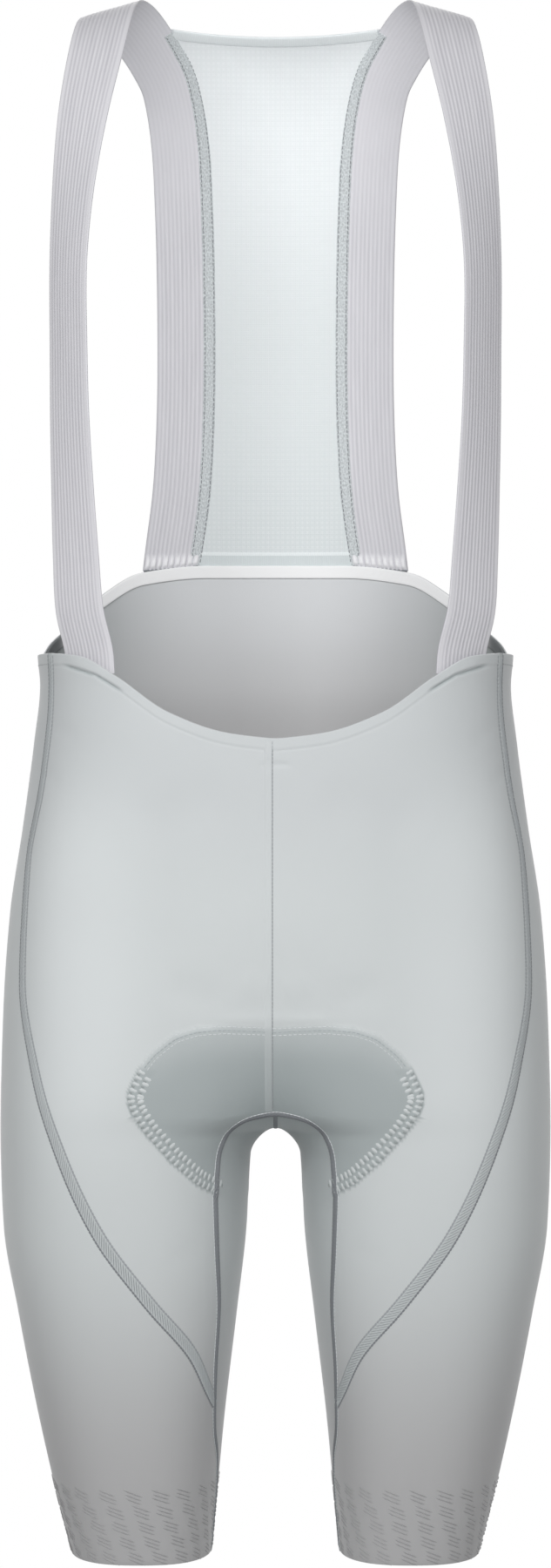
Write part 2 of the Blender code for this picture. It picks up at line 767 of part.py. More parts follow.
def crotch_curve():
    """Points of the figure in the middle plane, from the pad's front edge to its back edge."""
    samples = 80
    hub = Vector((0.0, PAD_HUB_DEPTH, PAD_HUB_HEIGHT))
    front = figure_point(*middle_place(PAD_FRONT_HEIGHT, -1)) - hub
    back = figure_point(*middle_place(PAD_BACK_HEIGHT, 1)) - hub
    start = math.atan2(-front.z, -front.y)
    end = math.atan2(-back.z, -back.y) % (2.0 * math.pi)
    curve = []
    for i in range(samples + 1):
        angle = lerp(start, end, i / samples)
        ray = Vector((0.0, -math.cos(angle), -math.sin(angle)))
        near = 0.0
        far = 0.2
        for _ in range(40):
            middle = (near + far) / 2.0
            if figure_level(hub + ray * middle) < 0.0:
                near = middle
            else:
                far = middle
        curve.append(hub + ray * near)
    return curve


def point_along(curve, share):
    """The point at a share of a curve's length."""
    lengths = [0.0]
    for a, b in zip(curve, curve[1:]):
        lengths.append(lengths[-1] + (b - a).length)
    target = share * lengths[-1]
    i = max(k for k in range(len(curve) - 1) if lengths[k] <= target or k == 0)
    return curve[i].lerp(curve[i + 1], (target - lengths[i]) / (lengths[i + 1] - lengths[i]))


def pad_grid():
    """Rows of half the pad's outline on the figure, each from its side edge to the middle plane."""
    curve = crotch_curve()
    grid = []
    for along, across, height, face in PAD_LINES:
        middle = point_along(curve, along)
        edge = figure_point(angle_at(across, height, face), height)
        row = [settle(edge.lerp(middle, c / PAD_COLUMNS)) for c in range(PAD_COLUMNS + 1)]
        row[-1].x = 0.0
        grid.append(row)
    return grid[::-1]


def build_pad(material, collection):
    """The seat pad, thick in the middle and thin at its edges."""
    grid = pad_grid()
    rows = len(grid) - 1
    outer = offset_grid(grid, PANEL_WALL + PAD_CLEARANCE)
    inner = []
    for r, row in enumerate(grid):
        line = []
        for c, point in enumerate(row):
            from_side = c / PAD_COLUMNS / PAD_SIDE_RAMP
            from_end = min(r, rows - r) / rows / PAD_END_RAMP
            depth = lerp(PAD_EDGE_THICKNESS, PAD_THICKNESS, min(from_side, 1.0) * min(from_end, 1.0))
            inward = figure_gradient(point).normalized()
            line.append(point - inward * (PANEL_WALL + PAD_CLEARANCE + depth))
        line[-1].x = 0.0
        inner.append(line)
    for row in outer:
        row[-1].x = 0.0
    item = wall("pad", outer, inner, material, collection, open_rows=rows)
    mirror_across_middle(item)


def main():
    """Build the bib shorts."""
    clear_scene()
    collection = bpy.data.collections.new(COLLECTION)
    bpy.context.scene.collection.children.link(collection)
    materials = {name: make_material(name) for name in MATERIALS}
    build_front_panels(materials["stretch_knit"], collection)
    build_back_panel(materials["stretch_knit"], collection)
    build_inner_panels(materials["stretch_knit"], collection)
    build_strap("strap_left", -1, materials["ribbed_elastic"], collection)
    build_strap("strap_right", 1, materials["ribbed_elastic"], collection)
    build_mesh_panel(materials["mesh_knit"], collection)
    build_waist_band(materials["white_elastic"], collection)
    build_pad(materials["pad_foam"], collection)


main()
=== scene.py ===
"""Looks of the cycling bib shorts: fine cloth shells, seams, stitching, materials, light and camera.

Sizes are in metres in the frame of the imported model: +Z up, the front facing -Y, and the origin
between the shoulder straps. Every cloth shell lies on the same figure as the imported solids.
"""

import math

import bpy
import numpy as np
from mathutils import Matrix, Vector


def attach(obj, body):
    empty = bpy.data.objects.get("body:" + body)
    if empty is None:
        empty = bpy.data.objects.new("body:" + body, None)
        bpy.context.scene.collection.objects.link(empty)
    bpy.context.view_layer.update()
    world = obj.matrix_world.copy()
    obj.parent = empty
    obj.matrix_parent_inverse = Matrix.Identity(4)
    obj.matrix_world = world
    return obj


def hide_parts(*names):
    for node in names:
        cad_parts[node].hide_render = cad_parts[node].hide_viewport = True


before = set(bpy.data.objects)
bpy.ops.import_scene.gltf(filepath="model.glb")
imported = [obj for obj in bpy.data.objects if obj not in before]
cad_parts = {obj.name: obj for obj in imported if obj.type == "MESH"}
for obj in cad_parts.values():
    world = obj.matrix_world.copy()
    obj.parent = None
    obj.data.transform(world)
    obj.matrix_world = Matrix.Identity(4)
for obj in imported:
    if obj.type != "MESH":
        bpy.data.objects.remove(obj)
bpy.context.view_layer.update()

# Cloth thicknesses and gaps
PANEL_WALL = 0.0012
STRAP_WALL = 0.0013
MESH_WALL = 0.0010
BAND_WALL = 0.0010
BAND_CLEARANCE = 0.0003
SEAM_GAP = 0.0003

# Turns a point into its mirror image on the garment's other side
MIRROR = np.array([-1.0, 1.0, 1.0])

# Rows of each grid's parts from its top down, then its columns. A strap has plain and gathered rows.
FRONT_COUNTS = (190, 84, 120)
BACK_COUNTS = (84, 56, 34, 100)
INNER_COUNTS = (36, 90, 64)
STRAP_ROWS = (170, 19)
RIB_POINTS = 8
MESH_COUNTS = (130, 36)
MESH_RIBBON_COLUMNS = 24
BAND_ROWS = 7
PAD_COUNTS = (97, 31)

# Edges between faces that meet at more than this angle stay sharp
SHARP_ANGLE = math.radians(60.0)

# Rounding of the fork between the legs
FORK = 0.010

# Cross-sections of the general figure that fills the shorts. Below the fork a section is a leg,
# and above it the torso, whose centre lies on the middle plane.
SECTION_COLUMNS = ("height", "half_width", "centre", "inner", "front", "back", "front_round", "back_round")
SECTIONS = (
    (-0.300, 0.1500, 0.0000, 0.1500, 0.104, 0.098, 2.7, 2.3),
    (-0.360, 0.1505, 0.0000, 0.1500, 0.106, 0.094, 2.9, 2.3),
    (-0.420, 0.1522, 0.0000, 0.1500, 0.108, 0.092, 3.0, 2.3),
    (-0.440, 0.1506, 0.0000, 0.1500, 0.108, 0.092, 3.0, 2.3),
    (-0.475, 0.1543, 0.0000, 0.1540, 0.110, 0.095, 2.9, 2.3),
    (-0.530, 0.1618, 0.0000, 0.1610, 0.111, 0.105, 2.7, 2.3),
    (-0.585, 0.1702, 0.0060, 0.1640, 0.109, 0.115, 2.5, 2.3),
    (-0.640, 0.1743, 0.0400, 0.1600, 0.105, 0.121, 2.4, 2.3),
    (-0.680, 0.1757, 0.0720, 0.1340, 0.101, 0.118, 2.3, 2.3),
    (-0.7087, 0.1763, 0.0900, 0.1130, 0.098, 0.112, 2.3, 2.3),
    (-0.7230, 0.1764, 0.0950, 0.0850, 0.096, 0.108, 2.3, 2.3),
    (-0.7400, 0.1762, 0.0963, 0.0772, 0.095, 0.104, 2.3, 2.3),
    (-0.785, 0.1744, 0.0965, 0.0755, 0.092, 0.095, 2.3, 2.3),
    (-0.840, 0.1650, 0.0948, 0.0682, 0.088, 0.085, 2.3, 2.3),
    (-0.900, 0.1533, 0.0927, 0.0593, 0.081, 0.076, 2.3, 2.3),
    (-0.950, 0.1420, 0.0894, 0.0513, 0.073, 0.067, 2.4, 2.4),
    (-0.993, 0.1310, 0.0860, 0.0440, 0.063, 0.058, 2.5, 2.5),
)

# Heights of the main places
FRONT_CENTRE_HEIGHT = -0.4754
SIDE_HEIGHT = -0.4215
BACK_CENTRE_HEIGHT = -0.3583
CROTCH_SEAM_HEIGHT = -0.7087
ARCH_TOP_HEIGHT = -0.722
ARCH_FOOT_HEIGHT = -0.7556
FRONT_TIP_HEIGHT = -0.8860
BELOW_TIP_HEIGHT = -0.8875
HEM_HEIGHT = -0.9930

# Seams on the figure, seen from the front: (height, across)
SIDE_SEAM = (
    (-0.4215, 0.1412),
    (-0.4470, 0.1409),
    (-0.5030, 0.1467),
    (-0.5520, 0.1559),
    (-0.6264, 0.1594),
    (-0.6846, 0.1499),
    (-0.7384, 0.1318),
    (-0.7840, 0.1096),
    (-0.8255, 0.0788),
    (-0.8610, 0.0511),
    (-0.8860, 0.0415),
)
UPPER_INSEAM = (
    (-0.7087, 0.0000),
    (-0.7121, 0.0190),
    (-0.7201, 0.0293),
    (-0.7325, 0.0358),
)
FRONT_INSEAM = (
    *UPPER_INSEAM,
    (-0.7556, 0.0379),
    (-0.7970, 0.0369),
    (-0.8288, 0.0358),
    (-0.8755, 0.0382),
    (-0.9110, 0.0388),
    (-0.9300, 0.0372),
    (-0.9930, 0.0412),
)
BACK_INSEAM = (
    *UPPER_INSEAM,
    (-0.7556, 0.0390),
    (-0.8288, 0.0400),
    (-0.9110, 0.0440),
    (-0.9930, 0.0500),
)
# Share of the way down the arch between the legs: (height, share)
ARCH_SHARES = (
    (-0.7087, 0.00),
    (-0.7121, 0.25),
    (-0.7201, 0.50),
    (-0.7325, 0.75),
    (-0.7556, 1.00),
)

# Top edges, from the middle to the side: (across, height)
FRONT_EDGE = (
    (0.0000, -0.4754),
    (0.0316, -0.4714),
    (0.0667, -0.4589),
    (0.1000, -0.4365),
    (0.1226, -0.4238),
    (0.1412, -0.4215),
)
BACK_EDGE = (
    (0.0000, -0.3583),
    (0.0469, -0.3585),
    (0.0897, -0.3636),
    (0.1156, -0.3788),
    (0.1405, -0.4050),
    (0.1475, -0.4130),
    (0.1515, -0.4215),
)
# A top edge's shape fades out over this share of the way down to the crotch
EDGE_FADE = 7.0 / 12.0
TOP_ROW_CROWDING = 1.35
ARCH_ROW_CROWDING = 1.6
LINE_SAMPLES = 80

# The straps. Each row of the path lies on the inner face of one, from inside the front waist to the
# back waist: (across, depth, height, turn in degrees, slope in degrees, crown)
STRAP_WIDTH = 0.036
STRAP_PATH = (
    (0.1147, -0.0818, -0.4350, 34, 0, 0.0014),
    (0.1159, -0.0824, -0.4200, 34, 0, 0.0014),
    (0.1216, -0.0840, -0.3949, 35, 0, 0.0008),
    (0.1239, -0.0835, -0.3627, 38, 0, 0.0006),
    (0.1261, -0.0815, -0.3199, 43, 0, 0.0006),
    (0.1279, -0.0795, -0.2768, 47, 0, 0.0006),
    (0.1287, -0.0780, -0.2338, 49, 0, 0.0006),
    (0.1290, -0.0765, -0.1800, 49, 0, 0.0006),
    (0.1262, -0.0735, -0.1330, 43, 0, 0.0006),
    (0.1207, -0.0640, -0.0846, 30, 0, 0.0006),
    (0.1136, -0.0450, -0.0418, 15, 4, 0.0006),
    (0.1086, -0.0220, -0.0154, 5, 12, 0.0006),
    (0.1045, 0.0000, -0.0066, 0, 16, 0.0006),
    (0.0955, 0.0210, -0.0090, -8, 22, 0.0006),
    (0.0855, 0.0405, -0.0180, -14, 27, 0.0006),
    (0.0775, 0.0555, -0.0290, -16, 26, 0.0006),
    (0.0709, 0.0670, -0.0410, -15, 18, 0.0006),
    (0.0665, 0.0780, -0.0589, -12, 8, 0.0006),
    (0.0636, 0.0860, -0.0818, -9, 3, 0.0006),
    (0.0622, 0.0910, -0.1063, -7, 0, 0.0006),
    (0.0607, 0.0955, -0.1547, -6, 0, 0.0006),
    (0.0601, 0.0975, -0.2243, -6, 0, 0.0006),
    (0.0610, 0.0955, -0.2708, -7, 0, 0.0006),
    (0.0634, 0.0915, -0.3116, -9, 0, 0.0006),
    (0.0680, 0.0868, -0.3480, -13, 0, 0.0006),
    (0.0695, 0.0852, -0.3599, -15, 0, 0.0006),
)
STRAP_END_SKEW = 0.0047
STRAP_SKEW_LENGTH = 0.040
STRAP_DIRECTION_STEP = 0.004
STRAP_RIBS = 13
RIB_PITCH = STRAP_WIDTH / STRAP_RIBS
RIB_HEIGHT = 0.0002
INNER_RIB_HEIGHT = 0.00025
CREST_RIB_SHARE = 0.25
CREST_RIB_HEIGHTS = (-0.06, -0.16)
SELVAGE = (0.82, 0.88)

# Gathers at the straps' back ends. They start and fade at these distances from the end.
GATHERS = 9
GATHER_HEIGHT = 0.0016
GATHER_SHARPNESS = 0.7
GATHER_START = (0.0002, 0.0026)
GATHER_FADE = (0.00495, 0.0110)
GATHER_ROWS_LENGTH = 0.0154

# The mesh panel starts at this distance along the strap, and its top edge sags towards the middle
MESH_START = 0.5120
MESH_BULGE = 0.005
MESH_SAG = 0.0045
MESH_SAG_LENGTH = 0.10
BINDING_WIDTH = 0.0080
BINDING_LIFT = 0.00015
MESH_EDGE_WIDTH = 0.0022
MESH_STEP = 0.001

# The mesh is lighter from the first of these heights up, as painted light, and its grid shows more at the
# bottom
MESH_HEIGHTS = (-0.06, -0.22)
GRID_HEIGHTS = (-0.24, -0.36)
MESH_CHECK_SCALE = 96.0
MESH_HOLE_SCALE = 290.0

# Cover stitch between a strap and the mesh. Its place across the strap runs from -1 to 1, and it
# stops short of the mesh's top and of the strap's end.
STRAP_SEAM_ACROSS = -0.90
STRAP_SEAM_HALF_WIDTH = 0.0033
STRAP_SEAM_LIFT = 0.0003
STRAP_SEAM_SHORT = (0.0025, 0.0010)
STRAP_SEAM_POINTS = 120
STRAP_STITCH_ACROSS = 0.9 * STRAP_SEAM_HALF_WIDTH
STRAP_STITCH_LIFT = 0.0002

# The seam at a strap's back end: half-width, lift, depth
STRAP_END_SEAM = (0.0007, 0.0005, 0.0003)
STRAP_END_POINTS = 24

# The white elastic inside the back waist
BAND_HEIGHT = 0.0075
# The elastic's ends near the side seams carry painted shade, full out to this distance and fading over the
# next
BAND_SHADED_REACH = 0.105
BAND_SHADE_FADE = 0.025
BAND_STITCH_INSET = 0.0012

# The seat pad. Each of its lines is (share of the way under the crotch, edge across, edge height,
# -1 front or 1 back).
PAD_FRONT_HEIGHT = -0.6515
PAD_BACK_HEIGHT = -0.5900
PAD_HUB = (0.008, -0.600)
PAD_RAYS = 160
PAD_RAY_LENGTH = 0.2
PAD_RAY_HALVINGS = 40
PAD_CLEARANCE = 0.0027
PAD_THICKNESS = 0.0065
PAD_EDGE_THICKNESS = 0.0015
PAD_CHANNEL_DEPTH = 0.0022
PAD_CHANNEL_ACROSS = 0.014
PAD_CHANNEL_WIDTH = 0.0035
PAD_CHANNEL_ENDS = (0.12, 0.22)
PAD_SIDE_RAMP = (0.0, 0.36)
PAD_END_RAMP = (0.0, 0.18)
PAD_LINES = (
    (0.00, 0.0636, -0.6570, -1),
    (0.05, 0.0777, -0.6692, -1),
    (0.10, 0.0865, -0.6808, -1),
    (0.15, 0.0930, -0.6967, -1),
    (0.20, 0.0905, -0.7064, -1),
    (0.26, 0.0820, -0.7196, -1),
    (0.32, 0.0652, -0.7390, -1),
    (0.37, 0.0500, -0.7533, -1),
    (0.41, 0.0360, -0.7620, -1),
    (0.45, 0.0240, -0.7670, -1),
    (0.49, 0.0240, -0.7670, 1),
    (0.53, 0.0380, -0.7610, 1),
    (0.58, 0.0560, -0.7480, 1),
    (0.63, 0.0740, -0.7300, 1),
    (0.69, 0.0880, -0.7080, 1),
    (0.76, 0.0960, -0.6820, 1),
    (0.84, 0.0960, -0.6500, 1),
    (0.92, 0.0850, -0.6180, 1),
    (1.00, 0.0600, -0.5950, 1),
)

# The pad's front edge as it shows through the cloth: (across, height). The rows of PAD_LINES from
# PAD_SIDE_ROW on give the rest of its outline.
PAD_FRONT = (
    (0.0000, -0.6535),
    (0.0170, -0.6525),
    (0.0340, -0.6520),
    (0.0495, -0.6532),
    (0.0635, -0.6578),
    (0.0777, -0.6692),
    (0.0862, -0.6804),
)
PAD_SIDE_ROW = 3
PAD_OUTLINE_STEP = 0.0016
PAD_BACK_STEPS = 9

# How the pad shows through the cloth, with steps that run from outside its outline to inside it
PAD_LIFT = 0.0011
PAD_LIFT_STEP = (-0.0005, 0.0030)
THIN_PAD_SHARE = 0.3
THIN_PAD_ACROSS = (0.025, 0.042)
PAD_SIDE_STEP = (-0.001, 0.0060)
PAD_FRONT_STEP = (0.0, 0.0300)
PAD_FRONT_EDGE = (-0.001, 0.0030)
PAD_FRONT_EDGE_SHARE = 0.60
PAD_FRONT_HEIGHTS = (-0.700, -0.662)
# Painted shade on the cloth over the pad, less at its back
PAD_PAINTED_SHADE = 0.80
PAD_BACK_PAINTED_SHADE = 0.50
PAD_BACK_DEPTHS = (0.0, 0.03)

# Painted shade round the crotch
CROTCH_SHADE_CENTRE = -0.7080
CROTCH_SHADE_REACH = 0.030
INNER_SHADE_REACH = 0.055

# Zigzag stitching down the pad's sides: two columns of short bars, (from inset, to inset, shift)
ZIGZAG_TOP = -0.6780
ZIGZAG_PITCH = 0.0043
ZIGZAG_COLUMNS = ((0.0006, 0.0054, 0.0), (0.0062, 0.0108, 0.5))
ZIGZAG_INNER_END = 0.037
ZIGZAG_SIZE = (0.0022, 0.0006)
# Painted shade in a band along the zigzag stitching
ZIGZAG_PAINTED_SHADE = 0.75
ZIGZAG_BLEND = 0.003
ZIGZAG_OUTER_EDGE = (-0.0006, 0.0006)
ZIGZAG_INNER_EDGE = (0.0100, 0.0125)
# Dark marks of painted shadow below the bars
SHADOW_MARK_LENGTH = 0.0026
SHADOW_MARK_SIZE = (0.0015, 0.0003)

# Rows of stitches along the pad's front edge, as insets from it
PAD_STITCH_INSETS = (0.0008, 0.0052)
PAD_LINE_INSET = 0.0030
PAD_STITCH_PITCH = 0.0031
PAD_STITCH_LENGTH = 0.0024
PAD_STITCH_SIZE = (0.0009, 0.00025)

# Turned hem along the front's top edge
HEM_TURN = 0.0070
HEM_EDGE = 0.0012
HEM_LIFT = 0.0002
FOLD_WIDTH = 0.0008
FOLD_DEPTH = 0.00015

# Tints of a panel's inner face and of the inner legs, whose tint is painted shade, and the heights between
# which the knit leaves its painted shade at the waist and takes its hem tone, partly its own greyer knit and
# partly painted shade
INNER_TINT = -1.0
INNER_LEG_PAINTED_SHADE = 0.20
WAIST_HEIGHTS = (-0.50, -0.58)
HEM_HEIGHTS = (-0.77, -0.95)

# A painted highlight down the sides of the body: where it starts and is full, or is full and ends
SIDE_HIGHLIGHT_COLOUR = (0.670, 0.702, 0.710)
HIGHLIGHT_INNER_SIDE = (0.060, 0.130)
HIGHLIGHT_OUTER_SIDE = (0.172, 0.132)
HIGHLIGHT_TOP = (-0.455, -0.560)
HIGHLIGHT_BOTTOM = (-0.800, -0.640)

# The inner face takes painted shade between these heights, darker lower down. Its corners at the sides lie in
# painted shade.
LINING_HEIGHTS = (-0.37, -0.48)
CORNER_NEAR = 0.070
CORNER_FAR = 0.230
CORNER_HEIGHT = 0.220

# Creases: (across, height) of both ends, face, width, depth. A depth below zero is a ridge.
CREASES = (
    (0.1350, -0.4280, 0.1080, -0.4370, -1, 0.0010, 0.00110),
    (0.1160, -0.4330, 0.0930, -0.4470, -1, 0.0010, 0.00110),
    (0.1320, -0.4250, 0.1010, -0.4385, -1, 0.0035, -0.00050),
    (0.0300, -0.6390, 0.0720, -0.6270, -1, 0.0110, 0.00080),
    (0.0020, -0.6330, 0.0240, -0.6230, -1, 0.0090, -0.00050),
    (0.0250, -0.5050, 0.0950, -0.5350, -1, 0.0160, 0.00060),
    (0.1420, -0.4660, 0.1210, -0.4760, -1, 0.0050, 0.00030),
    (0.1490, -0.4930, 0.1330, -0.5050, -1, 0.0045, 0.00025),
    (0.0120, -0.4915, -0.0120, -0.4905, -1, 0.0018, 0.00040),
    (-0.0300, -0.6485, 0.0450, -0.6490, -1, 0.0040, -0.00070),
    (0.0420, -0.7900, 0.0700, -0.8020, -1, 0.0060, 0.00030),
    (0.1050, -0.7550, 0.0500, -0.7720, 1, 0.0060, 0.00070),
    (0.1250, -0.7750, 0.0600, -0.7960, 1, 0.0050, 0.00045),
    (0.0420, -0.8400, 0.1000, -0.8300, 1, 0.0060, 0.00035),
    (0.1300, -0.4500, 0.0800, -0.4420, 1, 0.0050, 0.00040),
    (0.1480, -0.5050, 0.1100, -0.4960, 1, 0.0050, 0.00030),
)

# Creases deeper than this carry painted shade along them. They all fade towards their ends.
SHADED_DEPTH = 0.0010
CREASE_END_FADE = 0.3

# Seam bands and stitches. A size is a ridge's width and height.
RIBBON_STEP = 0.003
BAND_STAND_OFF = 0.00006
BAND_POINTS = 9
BAND_SQUARENESS = 5
FIRST_STITCH = 0.4
SEAM_HALF_WIDTH = 0.0036
INSEAM_HALF_WIDTH = 0.0023
SEAM_LIFT = 0.00035
SEAM_EDGE_WIDTH = 0.0015
SEAM_EDGE_SHARE = 0.96
SEAM_END_RISE = 0.0004
SIDE_SEAM_BEYOND_TIP = 0.009
SIDE_SEAM_POINTS = 160
INSEAM_POINTS = 240
HIGHLIGHT_EDGE_WIDTH = 0.0006
CROTCH_SEAM_HALF_WIDTH = 0.0012
CROTCH_SEAM_COLUMNS = 40
CENTRE_SEAM_HEIGHTS = (-0.4756, -0.7067)
CENTRE_SEAM_POINTS = 90
CENTRE_STRIP_ACROSS = -0.0044
CENTRE_STRIP_HALF_WIDTH = 0.0022
CENTRE_STRIP_LIFT = 0.0003
# Share of the cloth's painted shade on the centre strip
CENTRE_STRIP_SHADE_SHARE = 0.75
CENTRE_LINE_ACROSS = -0.0025
CENTRE_LINE_WIDTH = 0.0006
STITCH_LENGTH = 0.0024
STITCH_PITCH = 0.0031
CROSS_PITCH = 0.0026
CROSS_LENGTH = 0.0085
CROSS_SIZE = (0.0008, 0.0004)
CROSS_SHARE = 0.8
THREAD_WIDTH = 0.0006
THREAD_HEIGHT = 0.00028
RIDGE_FOOT = 0.00008

# Raised dashes of the leg grippers
DASH_TOP = -0.9490
DASH_ROW = 0.0099
DASH_ROW_SHIFT = 0.0032
DASH_ROWS = 5
DASH_COLUMNS = 23
DASHES = 3
DASH_PITCH = 0.0025
DASH_LENGTH = 0.0120
DASH_SLANT = math.radians(23.0)
DASH_SIZE = (0.0010, 0.0005)
DASH_UNEVENNESS = 0.0008

# Materials. A wave texture's scale times the distance between its stripes is WAVE_SCALE.
WAVE_SCALE = math.pi / 10.0
SHEEN_ROUGHNESS = 0.45
# Colour of the painted shade over the white elastic's ends
BAND_END_SHADE_COLOUR = (0.19, 0.20, 0.205)

# The photograph's camera
CAMERA_DISTANCE = 2.6
CAMERA_HEIGHT = -0.503
FRAME_HEIGHT = 1.008
SENSOR = 36.0

# Floor, surround and soft lights: (name, place, target, width, height, watts)
FLOOR_HEIGHT = -1.50
FLOOR_RADIUS = 2.4
FLOOR_POINTS = 96
FLOOR_COLOUR = (0.85, 0.85, 0.85)
SURROUND_TONE = 0.24
BACKDROP_EDGE = (0.60, 0.85)
LIGHTS = (
    ("key", (-0.15, -1.50, 0.15), (0.0, 0.0, -0.45), 1.8, 0.6, 25.0),
    ("back", (0.0, 1.90, 0.90), (0.0, 0.0, -0.5), 1.4, 1.4, 16.0),
)


# Curves and the figure


def lerp(a, b, share):
    """The value that lies the given share of the way from a to b."""
    return a + (b - a) * share


def smooth_step(value, low, high):
    """0 at low and beyond it, 1 at high and beyond it, and smooth between them."""
    t = np.clip((value - low) / (high - low), 0.0, 1.0)
    return t * t * (3.0 - 2.0 * t)


def unit(vectors):
    """The vectors with length 1."""
    return vectors / np.maximum(np.linalg.norm(vectors, axis=-1, keepdims=True), 1e-12)


def smooth_slopes(xs, ys):
    """Slopes at the rows of a table that keep the curve through them from overshooting."""
    steps = np.diff(ys) / np.diff(xs)
    same_way = steps[:-1] * steps[1:] > 0.0
    total = np.where(same_way, steps[:-1] + steps[1:], 1.0)
    inner = np.where(same_way, 2.0 * steps[:-1] * steps[1:] / total, 0.0)
    return np.concatenate((steps[:1], inner, steps[-1:]))


def curve_through(xs, ys, slopes):
    """A smooth function through points with given slopes, straight beyond both ends."""
    def value(x):
        x = np.asarray(x, float)
        inside = np.clip(x, xs[0], xs[-1])
        i = np.clip(np.searchsorted(xs, inside, side="right") - 1, 0, len(xs) - 2)
        width = xs[i + 1] - xs[i]
        t = (inside - xs[i]) / width
        near = (1.0 + 2.0 * t) * (1.0 - t) ** 2 * ys[i] + t * (1.0 - t) ** 2 * width * slopes[i]
        far = t * t * (3.0 - 2.0 * t) * ys[i + 1] + t * t * (t - 1.0) * width * slopes[i + 1]
        beyond = x - inside
        return near + far + beyond * np.where(beyond > 0.0, slopes[-1], slopes[0])

    return value


def table_functions(rows):
    """One smooth function of the first column for each of the other columns."""
    columns = np.array(rows, float).T
    if columns[0, 0] > columns[0, -1]:
        columns = columns[:, ::-1]
    return [curve_through(columns[0], ys, smooth_slopes(columns[0], ys)) for ys in columns[1:]]


SECTION_AT = table_functions(SECTIONS)
SIDE_SEAM_AT, FRONT_INSEAM_AT, BACK_INSEAM_AT, ARCH_SHARE_AT, FRONT_EDGE_AT, BACK_EDGE_AT = (
    table_functions(table)[0]
    for table in (SIDE_SEAM, FRONT_INSEAM, BACK_INSEAM, ARCH_SHARES, FRONT_EDGE, BACK_EDGE))


def section(height):
    """Sizes of the figure's cross-section at heights, by the names of the table's columns."""
    sizes = dict(zip(SECTION_COLUMNS[1:], (column(height) for column in SECTION_AT)))
    sizes["outer"] = np.hypot(sizes["half_width"], FORK) - sizes["centre"]
    return sizes


def power(value, exponent):
    """A power that keeps the sign of its base."""
    return np.copysign(np.abs(value) ** exponent, value)


def face_sizes(size, front):
    """The figure's depth and roundness, of its front where front is true and else of its back."""
    return [np.where(front, size["front" + kind], size["back" + kind]) for kind in ("", "_round")]


def figure_points(angle, height):
    """Points of the figure at angles round the leg: 0 outside, -90 degrees front, 90 back."""
    angle, height = np.broadcast_arrays(np.asarray(angle, float), np.asarray(height, float))
    size = section(height)
    cosine = np.cos(angle)
    sine = np.sin(angle)
    depth, roundness = face_sizes(size, sine < 0.0)
    reach = np.where(cosine > 0.0, size["outer"], size["inner"])
    across = size["centre"] + reach * power(cosine, 2.0 / roundness)
    across = np.sqrt(np.maximum(across * across - FORK * FORK, 0.0))
    return np.stack((across, depth * power(sine, 2.0 / roundness), height), axis=-1)


def angle_at(across, height, face):
    """Angle round the leg of points at distances from the middle plane, on one face."""
    size = section(height)
    roundness = size["front_round"] if face < 0 else size["back_round"]
    offset = np.hypot(across, FORK) - size["centre"]
    reach = np.where(offset > 0.0, size["outer"], size["inner"])
    cosine = np.minimum(np.abs(offset) / reach, 1.0) ** (roundness / 2.0)
    return face * np.arccos(np.copysign(cosine, offset))


def figure_level(points):
    """Zero on the figure, less than zero inside it."""
    size = section(points[..., 2])
    offset = np.hypot(points[..., 0], FORK) - size["centre"]
    depth, roundness = face_sizes(size, points[..., 1] < 0.0)
    reach = np.where(offset > 0.0, size["outer"], size["inner"])
    total = np.abs(offset / reach) ** roundness + np.abs(points[..., 1] / depth) ** roundness
    return total ** (1.0 / roundness) - 1.0


def figure_gradient(points):
    """Direction in which the figure's level rises, found from steps to both sides."""
    step = 0.0004
    slopes = []
    for axis in np.eye(3) * step:
        slopes.append((figure_level(points + axis) - figure_level(points - axis)) / (2.0 * step))
    return np.stack(slopes, axis=-1)


def figure_normals(points):
    """Outward directions at points of the figure."""
    return unit(figure_gradient(points))


def settle(points, rounds=12):
    """Move points that are near the figure onto it."""
    longest = 0.004
    for _ in range(rounds):
        slope = figure_gradient(points)
        move = slope * (-figure_level(points) / np.maximum((slope ** 2).sum(-1), 1e-9))[..., None]
        length = np.linalg.norm(move, axis=-1, keepdims=True)
        points = points + move * np.minimum(1.0, longest / np.maximum(length, 1e-12))
    return points


def lengths_along(points):
    """Distance along a line of points to each of them."""
    return np.concatenate(([0.0], np.cumsum(np.linalg.norm(np.diff(points, axis=0), axis=-1))))


def interpolate(distance, lengths, values):
    """Values at distances along a line, for each column of values."""
    return np.stack([np.interp(distance, lengths, column) for column in values.T], axis=-1)


# Grids of points on the figure


def even_rows(start, end, columns, rise=None):
    """Rows of points spaced evenly along lines on the figure, between two sets of (angles, heights)."""
    def points_at(share):
        angle, height = (lerp(first[:, None], last[:, None], share) for first, last in zip(start, end))
        return figure_points(angle, height + (rise(share) if rise else 0.0))

    shares = np.linspace(0.0, 1.0, LINE_SAMPLES + 1)
    even = []
    for line in points_at(shares):
        lengths = lengths_along(line)
        even.append(np.interp(np.linspace(0.0, lengths[-1], columns + 1), lengths, shares))
    return points_at(np.array(even))


def side_place(height):
    """Angles and heights of the side seam."""
    return angle_at(SIDE_SEAM_AT(height), height, -1), height


def inseam_place(height, face):
    """Angles and heights of the inseam at the front or the back of the inner thigh."""
    across = FRONT_INSEAM_AT(height) if face < 0 else BACK_INSEAM_AT(height)
    return angle_at(across, height, face), height


def middle_place(height, face):
    """Angles and heights of points of the middle plane."""
    return angle_at(np.zeros_like(height), height, face), height


